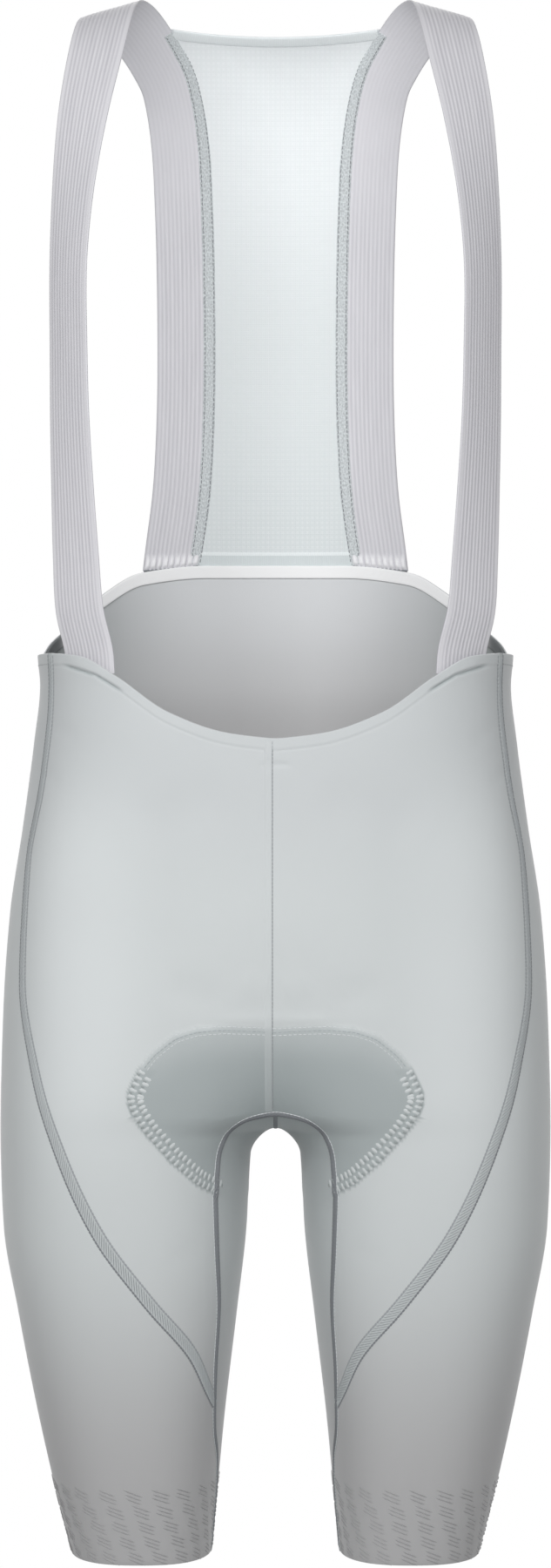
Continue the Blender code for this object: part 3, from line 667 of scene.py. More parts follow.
def edge_height(angle, face):
    """Height of the top edge at angles on one face, and of the side beyond it."""
    edge_at = FRONT_EDGE_AT if face < 0 else BACK_EDGE_AT
    across = figure_points(angle, SIDE_HEIGHT)[..., 0]
    return np.where(angle * face > 0.0, edge_at(across), SIDE_HEIGHT)


def edge_rise(face, start, end, shares):
    """How far a top edge rises over the straight line between its ends, fading down the rows."""
    fade = np.maximum(1.0 - shares / EDGE_FADE, 0.0)[:, None] ** 2
    first = start[0][0]
    last = end[0][0]

    def rise(share):
        straight = lerp(edge_height(first, face), edge_height(last, face), share)
        return fade * (edge_height(lerp(first, last, share), face) - straight)

    return rise


def front_grid(torso_rows, thigh_rows, columns):
    """Rows of the front panel, denser at its top, each from the middle or inseam out to the side seam."""
    shares = np.linspace(0.0, 1.0, torso_rows + 1) ** TOP_ROW_CROWDING
    middle = middle_place(lerp(FRONT_CENTRE_HEIGHT, CROTCH_SEAM_HEIGHT, shares), -1)
    side = side_place(lerp(SIDE_HEIGHT, CROTCH_SEAM_HEIGHT, shares))
    torso = even_rows(middle, side, columns, edge_rise(-1, middle, side, shares))
    heights = np.linspace(CROTCH_SEAM_HEIGHT, FRONT_TIP_HEIGHT, thigh_rows + 1)[1:]
    thigh = even_rows(inseam_place(heights, -1), side_place(heights), columns)
    return np.concatenate((torso, thigh))


def back_grid(torso_rows, thigh_rows, knee_rows, columns):
    """Rows of half the back panel, each from the side seam round the back to the middle or inseam."""
    shares = np.linspace(0.0, 1.0, torso_rows + 1)
    side = side_place(lerp(SIDE_HEIGHT, CROTCH_SEAM_HEIGHT, shares))
    middle = middle_place(lerp(BACK_CENTRE_HEIGHT, CROTCH_SEAM_HEIGHT, shares), 1)
    torso = even_rows(side, middle, columns, edge_rise(1, side, middle, shares))
    heights = np.linspace(CROTCH_SEAM_HEIGHT, FRONT_TIP_HEIGHT, thigh_rows + 1)[1:]
    thigh = even_rows(side_place(heights), inseam_place(heights, 1), columns)
    heights = np.linspace(BELOW_TIP_HEIGHT, HEM_HEIGHT, knee_rows)
    knee = even_rows(inseam_place(heights, -1), inseam_place(heights, 1), columns)
    return np.concatenate((torso, thigh, knee))


def arch_rows(heights, columns):
    """Rows under the crotch, each from the front seam past the inner thigh to the back seam."""
    share = ARCH_SHARE_AT(heights)
    front = figure_points(*inseam_place(heights, -1))
    back = figure_points(*inseam_place(heights, 1))
    side = figure_points(np.array(math.pi), np.array(ARCH_FOOT_HEIGHT))
    top = settle(np.array([0.0, 0.0, ARCH_TOP_HEIGHT]))
    across = side[0] * np.sin(share * math.pi / 2.0)
    seeds = np.stack((across, np.zeros_like(share), lerp(top[2], side[2], share ** 2)), axis=-1)
    handle = 2.0 * settle(seeds) - (front + back) / 2.0
    t = np.linspace(0.0, 1.0, columns + 1)[None, :, None]
    rows = front[:, None] * (1.0 - t) ** 2 + handle[:, None] * 2.0 * t * (1.0 - t) + back[:, None] * t * t
    rows = settle(rows, rounds=24)
    rows[:, 0] = front
    rows[:, -1] = back
    return rows


def inner_grid(arch_row_count, leg_row_count, columns):
    """Rows of the inner leg panel, each from the back inseam to the front one."""
    spread = np.linspace(0.0, 1.0, arch_row_count + 1)[:-1] ** ARCH_ROW_CROWDING
    arch = arch_rows(lerp(CROTCH_SEAM_HEIGHT, ARCH_FOOT_HEIGHT, spread), columns)
    heights = np.linspace(ARCH_FOOT_HEIGHT, HEM_HEIGHT, leg_row_count)
    angles = inseam_place(heights, 1)[0]
    legs = even_rows(inseam_place(heights, -1), (angles - 2.0 * math.pi, heights), columns)
    return np.concatenate((arch, legs))[:, ::-1]


# Relief of the cloth


def crotch_curve():
    """Points of the figure in the middle plane, from the pad's front edge to its back edge."""
    hub = np.array([0.0, *PAD_HUB])
    front = figure_points(*middle_place(np.array(PAD_FRONT_HEIGHT), -1)) - hub
    back = figure_points(*middle_place(np.array(PAD_BACK_HEIGHT), 1)) - hub
    start = math.atan2(-front[2], -front[1])
    end = math.atan2(-back[2], -back[1]) % (2.0 * math.pi)
    angles = np.linspace(start, end, PAD_RAYS + 1)
    rays = np.stack((np.zeros_like(angles), -np.cos(angles), -np.sin(angles)), axis=-1)
    near = np.zeros_like(angles)
    far = np.full_like(angles, PAD_RAY_LENGTH)
    for _ in range(PAD_RAY_HALVINGS):
        middle = (near + far) / 2.0
        inside = figure_level(hub + rays * middle[:, None]) < 0.0
        near = np.where(inside, middle, near)
        far = np.where(inside, far, middle)
    return hub + rays * near[:, None]


def pad_edge_points():
    """The pad's side edge on the figure, from the front to the back."""
    return np.array([figure_points(angle_at(across, height, face), height)
                     for _, across, height, face in PAD_LINES])


def smooth_line(points, step, closed=False, rounds=6):
    """The line resampled evenly on the figure and smoothed."""
    lengths = lengths_along(points)
    count = max(int(lengths[-1] / step), 4)
    line = interpolate(np.linspace(0.0, lengths[-1], count + 1), lengths, points)
    for _ in range(rounds):
        middle = (np.roll(line, 1, axis=0) + np.roll(line, -1, axis=0)) / 2.0
        if not closed:
            middle[0] = line[0]
            middle[-1] = line[-1]
        line = settle(lerp(line, middle, 0.5), rounds=4)
    return line


def pad_outline():
    """Closed line round the pad on the figure."""
    across, heights = np.array(PAD_FRONT).T
    front = figure_points(angle_at(across, heights, -1), heights)
    edge = pad_edge_points()[PAD_SIDE_ROW:]
    t = np.linspace(0.0, 1.0, PAD_BACK_STEPS + 1)[:-1, None]
    back = lerp(edge[-1], figure_points(*middle_place(np.array(PAD_BACK_HEIGHT), 1)), t)
    half = settle(np.concatenate((front, edge[:-1], back)))
    other = half[::-1] * MIRROR
    return smooth_line(np.concatenate((half, other[:-1], half[:1])), PAD_OUTLINE_STEP, closed=True)[:-1]


PAD_OUTLINE = pad_outline()
PAD_TANGENTS = unit(np.roll(PAD_OUTLINE, -1, axis=0) - np.roll(PAD_OUTLINE, 1, axis=0))
PAD_INWARD = np.cross(PAD_TANGENTS, figure_normals(PAD_OUTLINE))


def pad_depth(points):
    """Distance of points inside the pad's outline, below zero outside it."""
    flat = points.reshape(-1, 3)
    depth = np.empty(len(flat))
    chunk = 4000
    for first in range(0, len(flat), chunk):
        part = flat[first:first + chunk]
        gaps = ((part[:, None] - PAD_OUTLINE[None]) ** 2).sum(-1)
        nearest = gaps.argmin(axis=1)
        offset = part - PAD_OUTLINE[nearest]
        side = (offset * PAD_INWARD[nearest]).sum(-1)
        depth[first:first + chunk] = np.copysign(np.sqrt(gaps.min(axis=1)), side)
    return depth.reshape(points.shape[:-1])


def crease_relief(points):
    """How far the creases lower or raise the cloth, and the painted shade along the deepest ones."""
    lift = np.zeros(points.shape[:-1])
    shade = np.zeros(points.shape[:-1])
    for x1, z1, x2, z2, face, width, depth in CREASES:
        along = np.array([x2 - x1, z2 - z1])
        offset = np.stack((np.abs(points[..., 0]) - x1, points[..., 2] - z1), axis=-1)
        t = np.clip((offset @ along) / (along @ along), 0.0, 1.0)
        gap = np.linalg.norm(offset - t[..., None] * along, axis=-1)
        ends = smooth_step(np.minimum(t, 1.0 - t), 0.0, CREASE_END_FADE)
        near = (points[..., 1] * face > 0.0) * ends * np.exp(-(gap / width) ** 2)
        lift -= depth * near
        if depth > SHADED_DEPTH:
            shade = np.maximum(shade, near)
    return lift, shade


def crotch_shade(points, reach):
    """Share of painted shade round the crotch, 1 in its middle."""
    return np.exp(-(np.hypot(points[..., 0], points[..., 2] - CROTCH_SHADE_CENTRE) / reach) ** 2)


def cloth_relief(points):
    """Lift of the cloth over the figure, and its tint of painted shade over the pad, in deep creases, round
    the crotch and along the pad's zigzag stitching.
    """
    inside = pad_depth(points)
    across, depth, height = np.moveaxis(points, -1, 0)
    creased, shade = crease_relief(points)
    full = lerp(THIN_PAD_SHARE, 1.0, smooth_step(np.abs(across), *THIN_PAD_ACROSS))
    lift = PAD_LIFT * full * smooth_step(inside, *PAD_LIFT_STEP) + creased
    front = lerp(smooth_step(inside, *PAD_FRONT_STEP), smooth_step(inside, *PAD_FRONT_EDGE),
                 PAD_FRONT_EDGE_SHARE)
    padded = lerp(smooth_step(inside, *PAD_SIDE_STEP), front, smooth_step(height, *PAD_FRONT_HEIGHTS))
    # Painted shade where the pad backs the cloth, less towards its back
    darkness = lerp(PAD_PAINTED_SHADE, PAD_BACK_PAINTED_SHADE, smooth_step(depth, *PAD_BACK_DEPTHS))
    painted_shade = darkness * np.maximum(padded, shade)
    # Painted shade round the crotch
    painted_shade += (1.0 - painted_shade) * crotch_shade(points, CROTCH_SHADE_REACH)
    # Painted shade in the band of the zigzag stitching
    low = 1.0 - smooth_step(height, ZIGZAG_TOP - ZIGZAG_BLEND, ZIGZAG_TOP + ZIGZAG_BLEND)
    stitched = smooth_step(inside, *ZIGZAG_OUTER_EDGE) * (1.0 - smooth_step(inside, *ZIGZAG_INNER_EDGE)) * low
    return lift, np.maximum(painted_shade, ZIGZAG_PAINTED_SHADE * stitched)


# Meshes


def arc_rows(a, b, beyond):
    """Three rows on half circles from a round to b, bulging away from the rows beyond the edge."""
    half = (a - b) / 2.0
    out = a[:, :3] - beyond[:, :3]
    radial = unit(half[:, :3])
    out = unit(out - radial * (out * radial).sum(-1, keepdims=True))
    bulge = np.zeros_like(half)
    bulge[:, :3] = out * np.linalg.norm(half[:, :3], axis=-1, keepdims=True)
    angles = np.pi * np.array([0.25, 0.5, 0.75])[:, None, None]
    return (a + b) / 2.0 + half * np.cos(angles) + bulge * np.sin(angles)


def wall(outer, inner, open_rows=0):
    """Points and faces of a closed wall between two grids, rounded at its first and last rows.

    The last column of the first open_rows rows stays open, for a wall that is mirrored.
    """
    rows, columns = outer.shape[:2]
    low = arc_rows(outer[-1], inner[-1], outer[-2])
    high = arc_rows(inner[0], outer[0], inner[1])
    if open_rows:
        high[:, -1, 0] = 0.0
    if open_rows >= rows:
        low[:, -1, 0] = 0.0
    ring = np.concatenate((outer, low, inner[::-1], high))
    count = len(ring)
    index = np.arange(count * columns).reshape(count, columns)
    after = np.roll(index, -1, axis=0)
    quads = np.stack((index[:, :-1], after[:, :-1], after[:, 1:], index[:, 1:]), axis=-1)
    faces = quads.reshape(-1, 4).tolist()
    back = index[rows + len(low):rows + len(low) + rows][::-1]
    for r in range(rows - 1):
        faces.append([index[r, 0], back[r, 0], back[r + 1, 0], index[r + 1, 0]])
        if r >= open_rows:
            faces.append([index[r, -1], index[r + 1, -1], back[r + 1, -1], back[r, -1]])
    for first, last in ((rows - 1, rows + len(low)), (count - len(high) - 1, count)):
        span = [i % count for i in range(first, last + 1)]
        faces.append([index[i, 0] for i in span[::-1]])
        if not open_rows or (first == rows - 1 and rows - 1 >= open_rows):
            faces.append([index[i, -1] for i in span])
    return ring.reshape(-1, ring.shape[-1]), faces


def mirrored(surface):
    """The same surface on the other side of the middle plane."""
    points, faces = surface
    other = points.copy()
    other[:, 0] *= -1.0
    return other, [face[::-1] for face in faces]


def joined_with_mirror(surface):
    """A surface together with its mirror image, sharing the points of the middle plane."""
    points, faces = surface
    middle = np.abs(points[:, 0]) < 1e-6
    points[middle, 0] = 0.0
    numbers = np.where(middle, np.arange(len(points)), 0)
    numbers[~middle] = len(points) + np.arange((~middle).sum())
    other = points[~middle].copy()
    other[:, 0] *= -1.0
    far = [[int(numbers[i]) for i in face[::-1]] for face in faces]
    return np.concatenate((points, other)), faces + far


def grid_lengths(grid, axis):
    """Distances along a grid's lines to each of its points."""
    steps = np.linalg.norm(np.diff(grid, axis=axis, prepend=np.take(grid, [0], axis)), axis=-1)
    return np.cumsum(steps, axis=axis)


def with_own(points, across, along, tint):
    """Points with their own coordinates across and along the cloth, and a tint."""
    own = np.stack(np.broadcast_arrays(across, along, tint), axis=-1)
    return np.concatenate((points, own), axis=-1)


def with_extras(grid, tint=0.0):
    """A grid with coordinates that are its distances across and along, and a tint."""
    return with_own(grid, grid_lengths(grid, 1), grid_lengths(grid, 0), tint)


def whole_wall(outer, inner, tint=0.0):
    """A wall between two grids of the right half, joined with its mirror image on the left."""
    return joined_with_mirror(wall(with_extras(outer, tint), with_extras(inner, tint), open_rows=len(outer)))


def add_object(name, data):
    """An object in the scene."""
    item = bpy.data.objects.new(name, data)
    bpy.context.scene.collection.objects.link(item)
    return item


def add_piece(name, surface, look, replaces=None):
    """A smooth mesh piece that rides on the only body."""
    points, faces = surface
    mesh = bpy.data.meshes.new(name)
    mesh.from_pydata(points[:, :3].tolist(), [], faces)
    mesh.shade_smooth()
    mesh.set_sharp_from_angle(angle=SHARP_ANGLE)
    if points.shape[1] == 6:
        corners = np.empty(len(mesh.loops), dtype=np.int32)
        mesh.loops.foreach_get("vertex_index", corners)
        layer = mesh.uv_layers.new(name="cloth")
        layer.data.foreach_set("uv", points[corners, 3:5].astype(np.float32).ravel())
        tint = mesh.attributes.new("tint", 'FLOAT', 'POINT')
        tint.data.foreach_set("value", points[:, 5].astype(np.float32))
    mesh.materials.append(LOOKS[look])
    piece = add_object(name, mesh)
    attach(piece, "root")
    if replaces:
        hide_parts(replaces)
    return piece


def add_sheet(name, node, surface, look):
    """A piece that is a sheet of cloth in place of its solid."""
    piece = add_piece(name, surface, look, node)


def add_pair(name, kind, surface, look):
    """The right sheet of a pair, and its mirror image on the left."""
    for side, own in (("right", surface), ("left", mirrored(surface))):
        add_sheet(f"{name}_{side}_{kind}", f"{name}_{side}", own, look)


# Ribbons: lines on the cloth with crosswise and outward directions


class Ribbon:
    """A line of points with directions, from which bands and stitches are laid out."""

    def __init__(self, points, normals, on_figure=False):
        self.points = points
        self.normals = normals
        self.on_figure = on_figure
        self.crosswise = unit(np.cross(np.gradient(points, axis=0), normals))
        self.lengths = lengths_along(points)

    def at(self, distance, across, lift, outside=True):
        """Points and outward directions at distances along the line and across it.

        Outside, a ribbon on the figure follows the relief of the cloth.
        """
        points = interpolate(distance, self.lengths, self.points)
        crosswise = unit(interpolate(distance, self.lengths, self.crosswise))
        normals = unit(interpolate(distance, self.lengths, self.normals))
        points = points + crosswise * np.asarray(across, float)[..., None]
        if self.on_figure:
            points = settle(points, rounds=4)
            normals = figure_normals(points)
            if outside:
                lift = lift + cloth_relief(points)[0]
        return points + normals * np.asarray(lift, float)[..., None], normals


def both_sides(points):
    """A line that ends in the middle plane, carried on to the other side."""
    return np.concatenate((points, points[-2::-1] * MIRROR))


def figure_ribbon(points):
    """A ribbon on the figure."""
    line = smooth_line(points, RIBBON_STEP, rounds=4)
    return Ribbon(line, figure_normals(line), True)


def side_ribbons(points, outward):
    """A ribbon on the right strap and its mirror image on the left one, each with its side's name."""
    for side, flip in (("right", 1.0), ("left", MIRROR)):
        yield side, Ribbon(points * flip, unit(outward * flip))


def band(name, ribbon, half_width, lift, depth, look, slot, tint_share=0.0):
    """A flat band along a ribbon that holds the cloth's edges on both faces.

    It takes a share of the cloth's tint, which is painted shade.
    """
    count = max(int(ribbon.lengths[-1] / RIBBON_STEP), 3)
    distance = np.linspace(0.0, ribbon.lengths[-1], count + 1)
    along, across = np.meshgrid(distance, np.linspace(-1.0, 1.0, BAND_POINTS))
    crown = BAND_STAND_OFF + lift * (1.0 - np.abs(across) ** BAND_SQUARENESS)
    place = (along.ravel(), (across * half_width).ravel())
    outer = ribbon.at(*place, crown.ravel())[0].reshape(*along.shape, 3)
    inner = ribbon.at(*place, (-depth - crown).ravel(), outside=False)[0].reshape(*along.shape, 3)
    tint = tint_share * cloth_relief(outer)[1] if tint_share else np.zeros_like(along)
    own = (across * half_width, along, tint)
    add_piece(name, wall(with_own(outer, *own), with_own(inner, *own)), look)


# A ridge along a stitch: places along it, with their share of its width and height
RIDGE_STATIONS = np.array([0.0, 0.2, 0.8, 1.0])
RIDGE_WIDTHS = np.array([0.4, 1.0, 1.0, 0.4])
RIDGE_CRESTS = np.array([0.0, 1.0, 1.0, 0.0])


def ridges(points, normals, width, height):
    """Points and faces of many small ridges, each along four stations."""
    along = unit(points[:, -1] - points[:, 0])[:, None]
    side = unit(np.cross(normals, along)) * (width / 2.0) * RIDGE_WIDTHS[None, :, None]
    crest = normals * (height * RIDGE_CRESTS)[None, :, None]
    sunk = normals * RIDGE_FOOT
    rows = np.stack((points - side - sunk, points + crest, points + side - sunk), axis=2)
    cell = np.array([[i, i + 3, i + 4, i + 1] for i in (0, 1, 3, 4, 6, 7)])
    faces = (np.arange(len(points))[:, None, None] * 12 + cell[None]).reshape(-1, 4)
    return rows.reshape(-1, 3), faces.tolist()


def merged(parts):
    """Several surfaces as one."""
    faces = []
    total = 0
    for part_points, part_faces in parts:
        faces += [[i + total for i in face] for face in part_faces]
        total += len(part_points)
    return np.concatenate([points for points, _ in parts]), faces


def ribbon_stitches(ribbon, starts, length, across_from, across_to, lift, width=THREAD_WIDTH,
                    height=THREAD_HEIGHT):
    """Ridges that start at distances along a ribbon, each running along it and across it."""
    distance = starts[:, None] + RIDGE_STATIONS[None] * length
    across = np.broadcast_to(lerp(across_from, across_to, RIDGE_STATIONS)[None], distance.shape)
    flat_lift = np.full(distance.size, lift)
    points, normals = ribbon.at(distance.ravel(), across.ravel(), flat_lift)
    shape = (*distance.shape, 3)
    return ridges(points.reshape(shape), normals.reshape(shape), width, height)


def starts_along(ribbon, pitch, length):
    """Starts of stitches along a whole ribbon."""
    return np.arange(pitch * FIRST_STITCH, ribbon.lengths[-1] - length, pitch)


def stitched_row(ribbon, across, lift):
    """A row of single stitches along a whole ribbon."""
    starts = starts_along(ribbon, STITCH_PITCH, STITCH_LENGTH)
    return ribbon_stitches(ribbon, starts, STITCH_LENGTH, across, across, lift)


# Materials


class Nodes:
    """A node tree, and short ways to add nodes to it."""

    def __init__(self, tree):
        self.tree = tree

    def put(self, socket, value):
        """Link another node's output to a socket, or set the socket's own value."""
        if isinstance(value, bpy.types.NodeSocket):
            self.tree.links.new(value, socket)
        elif socket.type == 'RGBA':
            socket.default_value = (*value, 1.0)
        else:
            socket.default_value = value

    def add(self, kind, inputs, output=0, **settings):
        """One output of a new node, with the node's settings and its inputs' values or links."""
        node = self.tree.nodes.new("ShaderNode" + kind)
        for key, value in settings.items():
            setattr(node, key, value)
        for key, value in inputs.items():
            self.put(node.inputs[key], value)
        return node.outputs[output]

    def spread(self, value, low=0.0, high=1.0, start=0.0, end=1.0, curve='LINEAR'):
        """A value spread from low at a start to high at an end."""
        ends = {"Value": value, "From Min": start, "From Max": end, "To Min": low, "To Max": high}
        return self.add("MapRange", ends, "Result", interpolation_type=curve)


class Look(Nodes):
    """A cloth or thread material in the making."""

    def __init__(self, name, colour, roughness, sheen, specular=0.3):
        self.material = bpy.data.materials.new(name)
        self.material.use_nodes = True
        self.material.diffuse_color = (*colour, 1.0)
        super().__init__(self.material.node_tree)
        self.shader = self.tree.nodes["Principled BSDF"]
        self.shader.inputs["Base Color"].default_value = (*colour, 1.0)
        self.shader.inputs["Roughness"].default_value = roughness
        self.shader.inputs["Sheen Weight"].default_value = sheen
        self.shader.inputs["Sheen Roughness"].default_value = SHEEN_ROUGHNESS
        self.shader.inputs["Specular IOR Level"].default_value = specular

    def coordinates(self, kind, scale=(1.0, 1.0, 1.0)):
        """Texture coordinates of a kind, scaled along each axis."""
        return self.add("Mapping", {"Vector": self.add("TexCoord", {}, kind), "Scale": scale})

    def noise(self, vector, scale, detail=2.0):
        """A noise texture's value."""
        return self.add("TexNoise", {"Vector": vector, "Scale": scale, "Detail": detail}, "Fac")

    def stripes(self, vector, axis, scale, distortion=0.0):
        """Even soft stripes across one axis."""
        inputs = {"Vector": vector, "Scale": scale, "Distortion": distortion}
        return self.add("TexWave", inputs, "Fac", bands_direction=axis)

    def combined(self, operation, first, second):
        """Two values put together by a math operation."""
        return self.add("Math", {0: first, 1: second}, operation=operation)

    def product(self, first, second):
        """Two values multiplied."""
        return self.combined('MULTIPLY', first, second)

    def grid(self, vector, scale):
        """An even grid of soft spots."""
        return self.product(self.stripes(vector, 'X', scale), self.stripes(vector, 'Z', scale))

    def mixed(self, factor, first, second):
        """A colour between two, each given as numbers or as another node's output."""
        return self.add("Mix", {"Factor": factor, 6: first, 7: second}, 2, data_type='RGBA')

    def tint(self):
        """The tint stored at a mesh's points."""
        return self.add("Attribute", {}, "Fac", attribute_name="tint")

    def place(self, axis):
        """The place along one of the garment's axes."""
        return self.add("SeparateXYZ", {0: self.coordinates("Object")}, axis)

    def between(self, value, start, end):
        """0 up to a start, 1 from an end on, and smooth between them."""
        return self.spread(value, start=start, end=end, curve='SMOOTHSTEP')

    def heights(self, top, bottom):
        """0 from a height upwards, 1 from a lower height downwards."""
        return self.between(self.place("Z"), top, bottom)

    def painted_side_highlight(self):
        """A soft painted highlight down both sides of the body."""
        distance = self.add("Math", {0: self.place("X")}, operation='ABSOLUTE')
        inner = self.between(distance, *HIGHLIGHT_INNER_SIDE)
        across = self.product(inner, self.between(distance, *HIGHLIGHT_OUTER_SIDE))
        return self.product(across, self.product(self.heights(*HIGHLIGHT_TOP), self.heights(*HIGHLIGHT_BOTTOM)))

    def finish(self, colour, height=None, strength=0.0, distance=0.0):
        """The material, with its colour and its fine relief."""
        self.put(self.shader.inputs["Base Color"], colour)
        if height is not None:
            bump = {"Height": height, "Strength": strength, "Distance": distance}
            self.put(self.shader.inputs["Normal"], self.add("Bump", bump, "Normal"))
        return self.material


def knit_look(name, colour, shade, waist, hem, inside, inside_painted_shade, corner):
    """Smooth stretch knit with fine columns of loops.

    A tint of 1 is painted shade where the pad backs it, -1 its inner face, and -2 painted shade in the inner
    corner at the side.
    """
    look = Look(name, colour, roughness=0.52, sheen=0.25)
    soft = look.spread(look.noise(look.coordinates("Object"), 7.0), high=0.10)
    # Painted shade at the waist
    body = look.mixed(look.heights(*WAIST_HEIGHTS), waist, look.mixed(soft, colour, shade))
    # Painted highlight down the sides of the body
    lit = look.mixed(look.painted_side_highlight(), body, SIDE_HIGHLIGHT_COLOUR)
    # A greyer tone at the hems: partly the knit's own, partly painted shade
    plain = look.mixed(look.heights(*HEM_HEIGHTS), lit, hem)
    tint = look.tint()
    painted_shade = look.mixed(look.spread(tint), plain, shade)
    # Painted shade on the inner face, darker lower down
    lining = look.mixed(look.heights(*LINING_HEIGHTS), inside, inside_painted_shade)
    lined = look.mixed(look.spread(tint, end=-1.0), painted_shade, lining)
    # Painted shade in the inner face's corners at the sides
    cornered = look.mixed(look.spread(tint, start=-1.0, end=-2.0), lined, corner)
    grain = look.noise(look.coordinates("UV", (1.0, 0.45, 1.0)), 1500.0, detail=3.0)
    return look.finish(cornered, grain, strength=0.10, distance=0.0003)


def elastic_look(name, colour, light, shade, inner_light, inner_shade, gathered):
    """Ribbed elastic with streaks along its length.

    A tint of 1 is a smooth edge or a painted highlight on a gather's crest, -1 the inner face, and -2 a
    painted highlight on the crest of a gather on the inner face.
    """
    look = Look(name, colour, roughness=0.62, sheen=0.2)
    ribs = look.stripes(look.coordinates("UV"), 'X', WAVE_SCALE / RIB_PITCH)
    streaks = look.noise(look.coordinates("UV", (1.0, 0.05, 1.0)), 420.0, detail=3.0)
    # Painted shade in the rib grooves, plus streaks of the elastic's own tone
    grooves = look.spread(ribs, -0.25, 0.45)
    streaked = look.combined('ADD', grooves, look.spread(streaks, high=0.8))
    rib_share = look.spread(look.heights(*CREST_RIB_HEIGHTS), CREST_RIB_SHARE)
    # The inner face's colours are lighter than the outer face's: painted light
    inside = look.mixed(look.product(streaked, rib_share), inner_light, inner_shade)
    tint = look.tint()
    edged = look.mixed(look.spread(tint, high=0.7), look.mixed(streaked, light, shade), light)
    faced = look.mixed(look.spread(tint, end=-1.0), edged, inside)
    # Painted highlight on the gathers' crests on the inner face
    puffed = look.mixed(look.spread(tint, start=-1.0, end=-2.0), faced, gathered)
    grain = look.noise(look.coordinates("UV", (0.35, 1.0, 1.0)), 1400.0)
    return look.finish(puffed, grain, strength=0.25, distance=0.0003)


def mesh_look(name, top, colour, shade):
    """Micro mesh: an even grid of very small openings, in larger soft checks."""
    look = Look(name, colour, roughness=0.6, sheen=0.2)
    flat = look.coordinates("Object")
    # Painted light at the mesh's top
    plain = look.mixed(look.heights(*MESH_HEIGHTS), top, colour)
    contrast = look.spread(look.heights(*GRID_HEIGHTS), 0.18, 0.75)
    checks = look.product(look.spread(look.grid(flat, MESH_CHECK_SCALE), 1.0, 0.0), contrast)
    holes = look.grid(flat, MESH_HOLE_SCALE)
    return look.finish(look.mixed(checks, plain, shade), holes, strength=0.35, distance=0.0004)


def woven_look(name, colour, shade, rib_scale):
    """Flat woven tape with fine ribs across it. A tint of 1 is painted shade over its ends near the side
    seams.
    """
    look = Look(name, colour, roughness=0.75, sheen=0.0, specular=0.1)
    ribs = look.stripes(look.coordinates("UV"), 'Y', rib_scale, distortion=1.5)
    ribbed = look.mixed(look.spread(ribs, 0.35, 0.0), colour, shade)
    return look.finish(look.mixed(look.tint(), ribbed, BAND_END_SHADE_COLOUR), ribs, strength=0.3, distance=0.0003)


def thread_look(name, colour, shade):
    """Soft textured sewing thread."""
    look = Look(name, colour, roughness=0.55, sheen=0.3)
    return look.finish(look.mixed(look.noise(look.coordinates("Object"), 900.0), colour, shade))


def foam_look(name, colour, shade):
    """Brushed knit over foam."""
    look = Look(name, colour, roughness=0.75, sheen=0.4)
    whole = look.coordinates("Object")
    soft = look.spread(look.noise(whole, 25.0), high=0.5)
    nap = look.noise(whole, 700.0, detail=4.0)
    return look.finish(look.mixed(soft, colour, shade), nap, strength=0.35, distance=0.0005)


def cover_look(name, colour, shade):
    """The speckled threads of a cover stitch."""
    look = Look(name, colour, roughness=0.6, sheen=0.2)
    speckle = look.noise(look.coordinates("UV", (1.0, 0.6, 1.0)), 1100.0, detail=3.0)
    sharp = look.spread(speckle, -1.2, 2.2)
    return look.finish(look.mixed(sharp, colour, shade), speckle, strength=0.6, distance=0.0006)


# Each material's kind, its colours, and the scale of its ribs where it has them
LOOK_TABLE = {
    "stretch_knit": (knit_look, (0.60, 0.63, 0.635), (0.325, 0.365, 0.37), (0.535, 0.56, 0.57),
                     (0.44, 0.44, 0.445), (0.655, 0.67, 0.685), (0.50, 0.50, 0.505), (0.29, 0.315, 0.315)),
    # The elastic's inner colours are lighter, as painted light, and its last colour is a painted highlight on
    # the gathers
    "ribbed_elastic": (elastic_look, (0.60, 0.595, 0.625), (0.67, 0.665, 0.695), (0.49, 0.485, 0.52),
                       (0.73, 0.725, 0.76), (0.57, 0.565, 0.60), (0.93, 0.93, 0.95)),
    "mesh_knit": (mesh_look, (0.88, 0.915, 0.93), (0.76, 0.80, 0.81), (0.68, 0.73, 0.74)),
    "white_elastic": (woven_look, (0.96, 0.965, 0.97), (0.90, 0.91, 0.915), 500.0),
    "seam_band": (woven_look, (0.52, 0.55, 0.555), (0.47, 0.50, 0.505), 160.0),
    # A darker copy of the seam band, as painted shade on the inseams and under the crotch
    "inseam_band": (woven_look, (0.24, 0.255, 0.27), (0.20, 0.215, 0.23), 160.0),
    "binding": (woven_look, (0.66, 0.71, 0.72), (0.60, 0.65, 0.66), 220.0),
    # A lighter copy of the binding, as painted light
    "painted_light_binding": (woven_look, (0.84, 0.885, 0.895), (0.77, 0.82, 0.83), 220.0),
    "cover_stitch": (cover_look, (0.70, 0.74, 0.755), (0.46, 0.49, 0.505)),
    "thread": (thread_look, (0.36, 0.38, 0.395), (0.31, 0.33, 0.345)),
    "soft_thread": (thread_look, (0.44, 0.48, 0.49), (0.38, 0.42, 0.43)),
    "dark_thread": (thread_look, (0.24, 0.255, 0.27), (0.19, 0.20, 0.215)),
    "light_thread": (thread_look, (0.62, 0.65, 0.66), (0.56, 0.59, 0.60)),
    # Painted shadow below the zigzag's bars
    "zigzag_painted_shadow": (thread_look, (0.33, 0.36, 0.36), (0.28, 0.31, 0.31)),
    "gripper_dash": (thread_look, (0.36, 0.36, 0.365), (0.32, 0.32, 0.325)),
    "pad_foam": (foam_look, (0.62, 0.65, 0.66), (0.55, 0.58, 0.60)),
}
LOOKS = {key: make(key + "_look", *values) for key, (make, *values) in LOOK_TABLE.items()}


# Panels


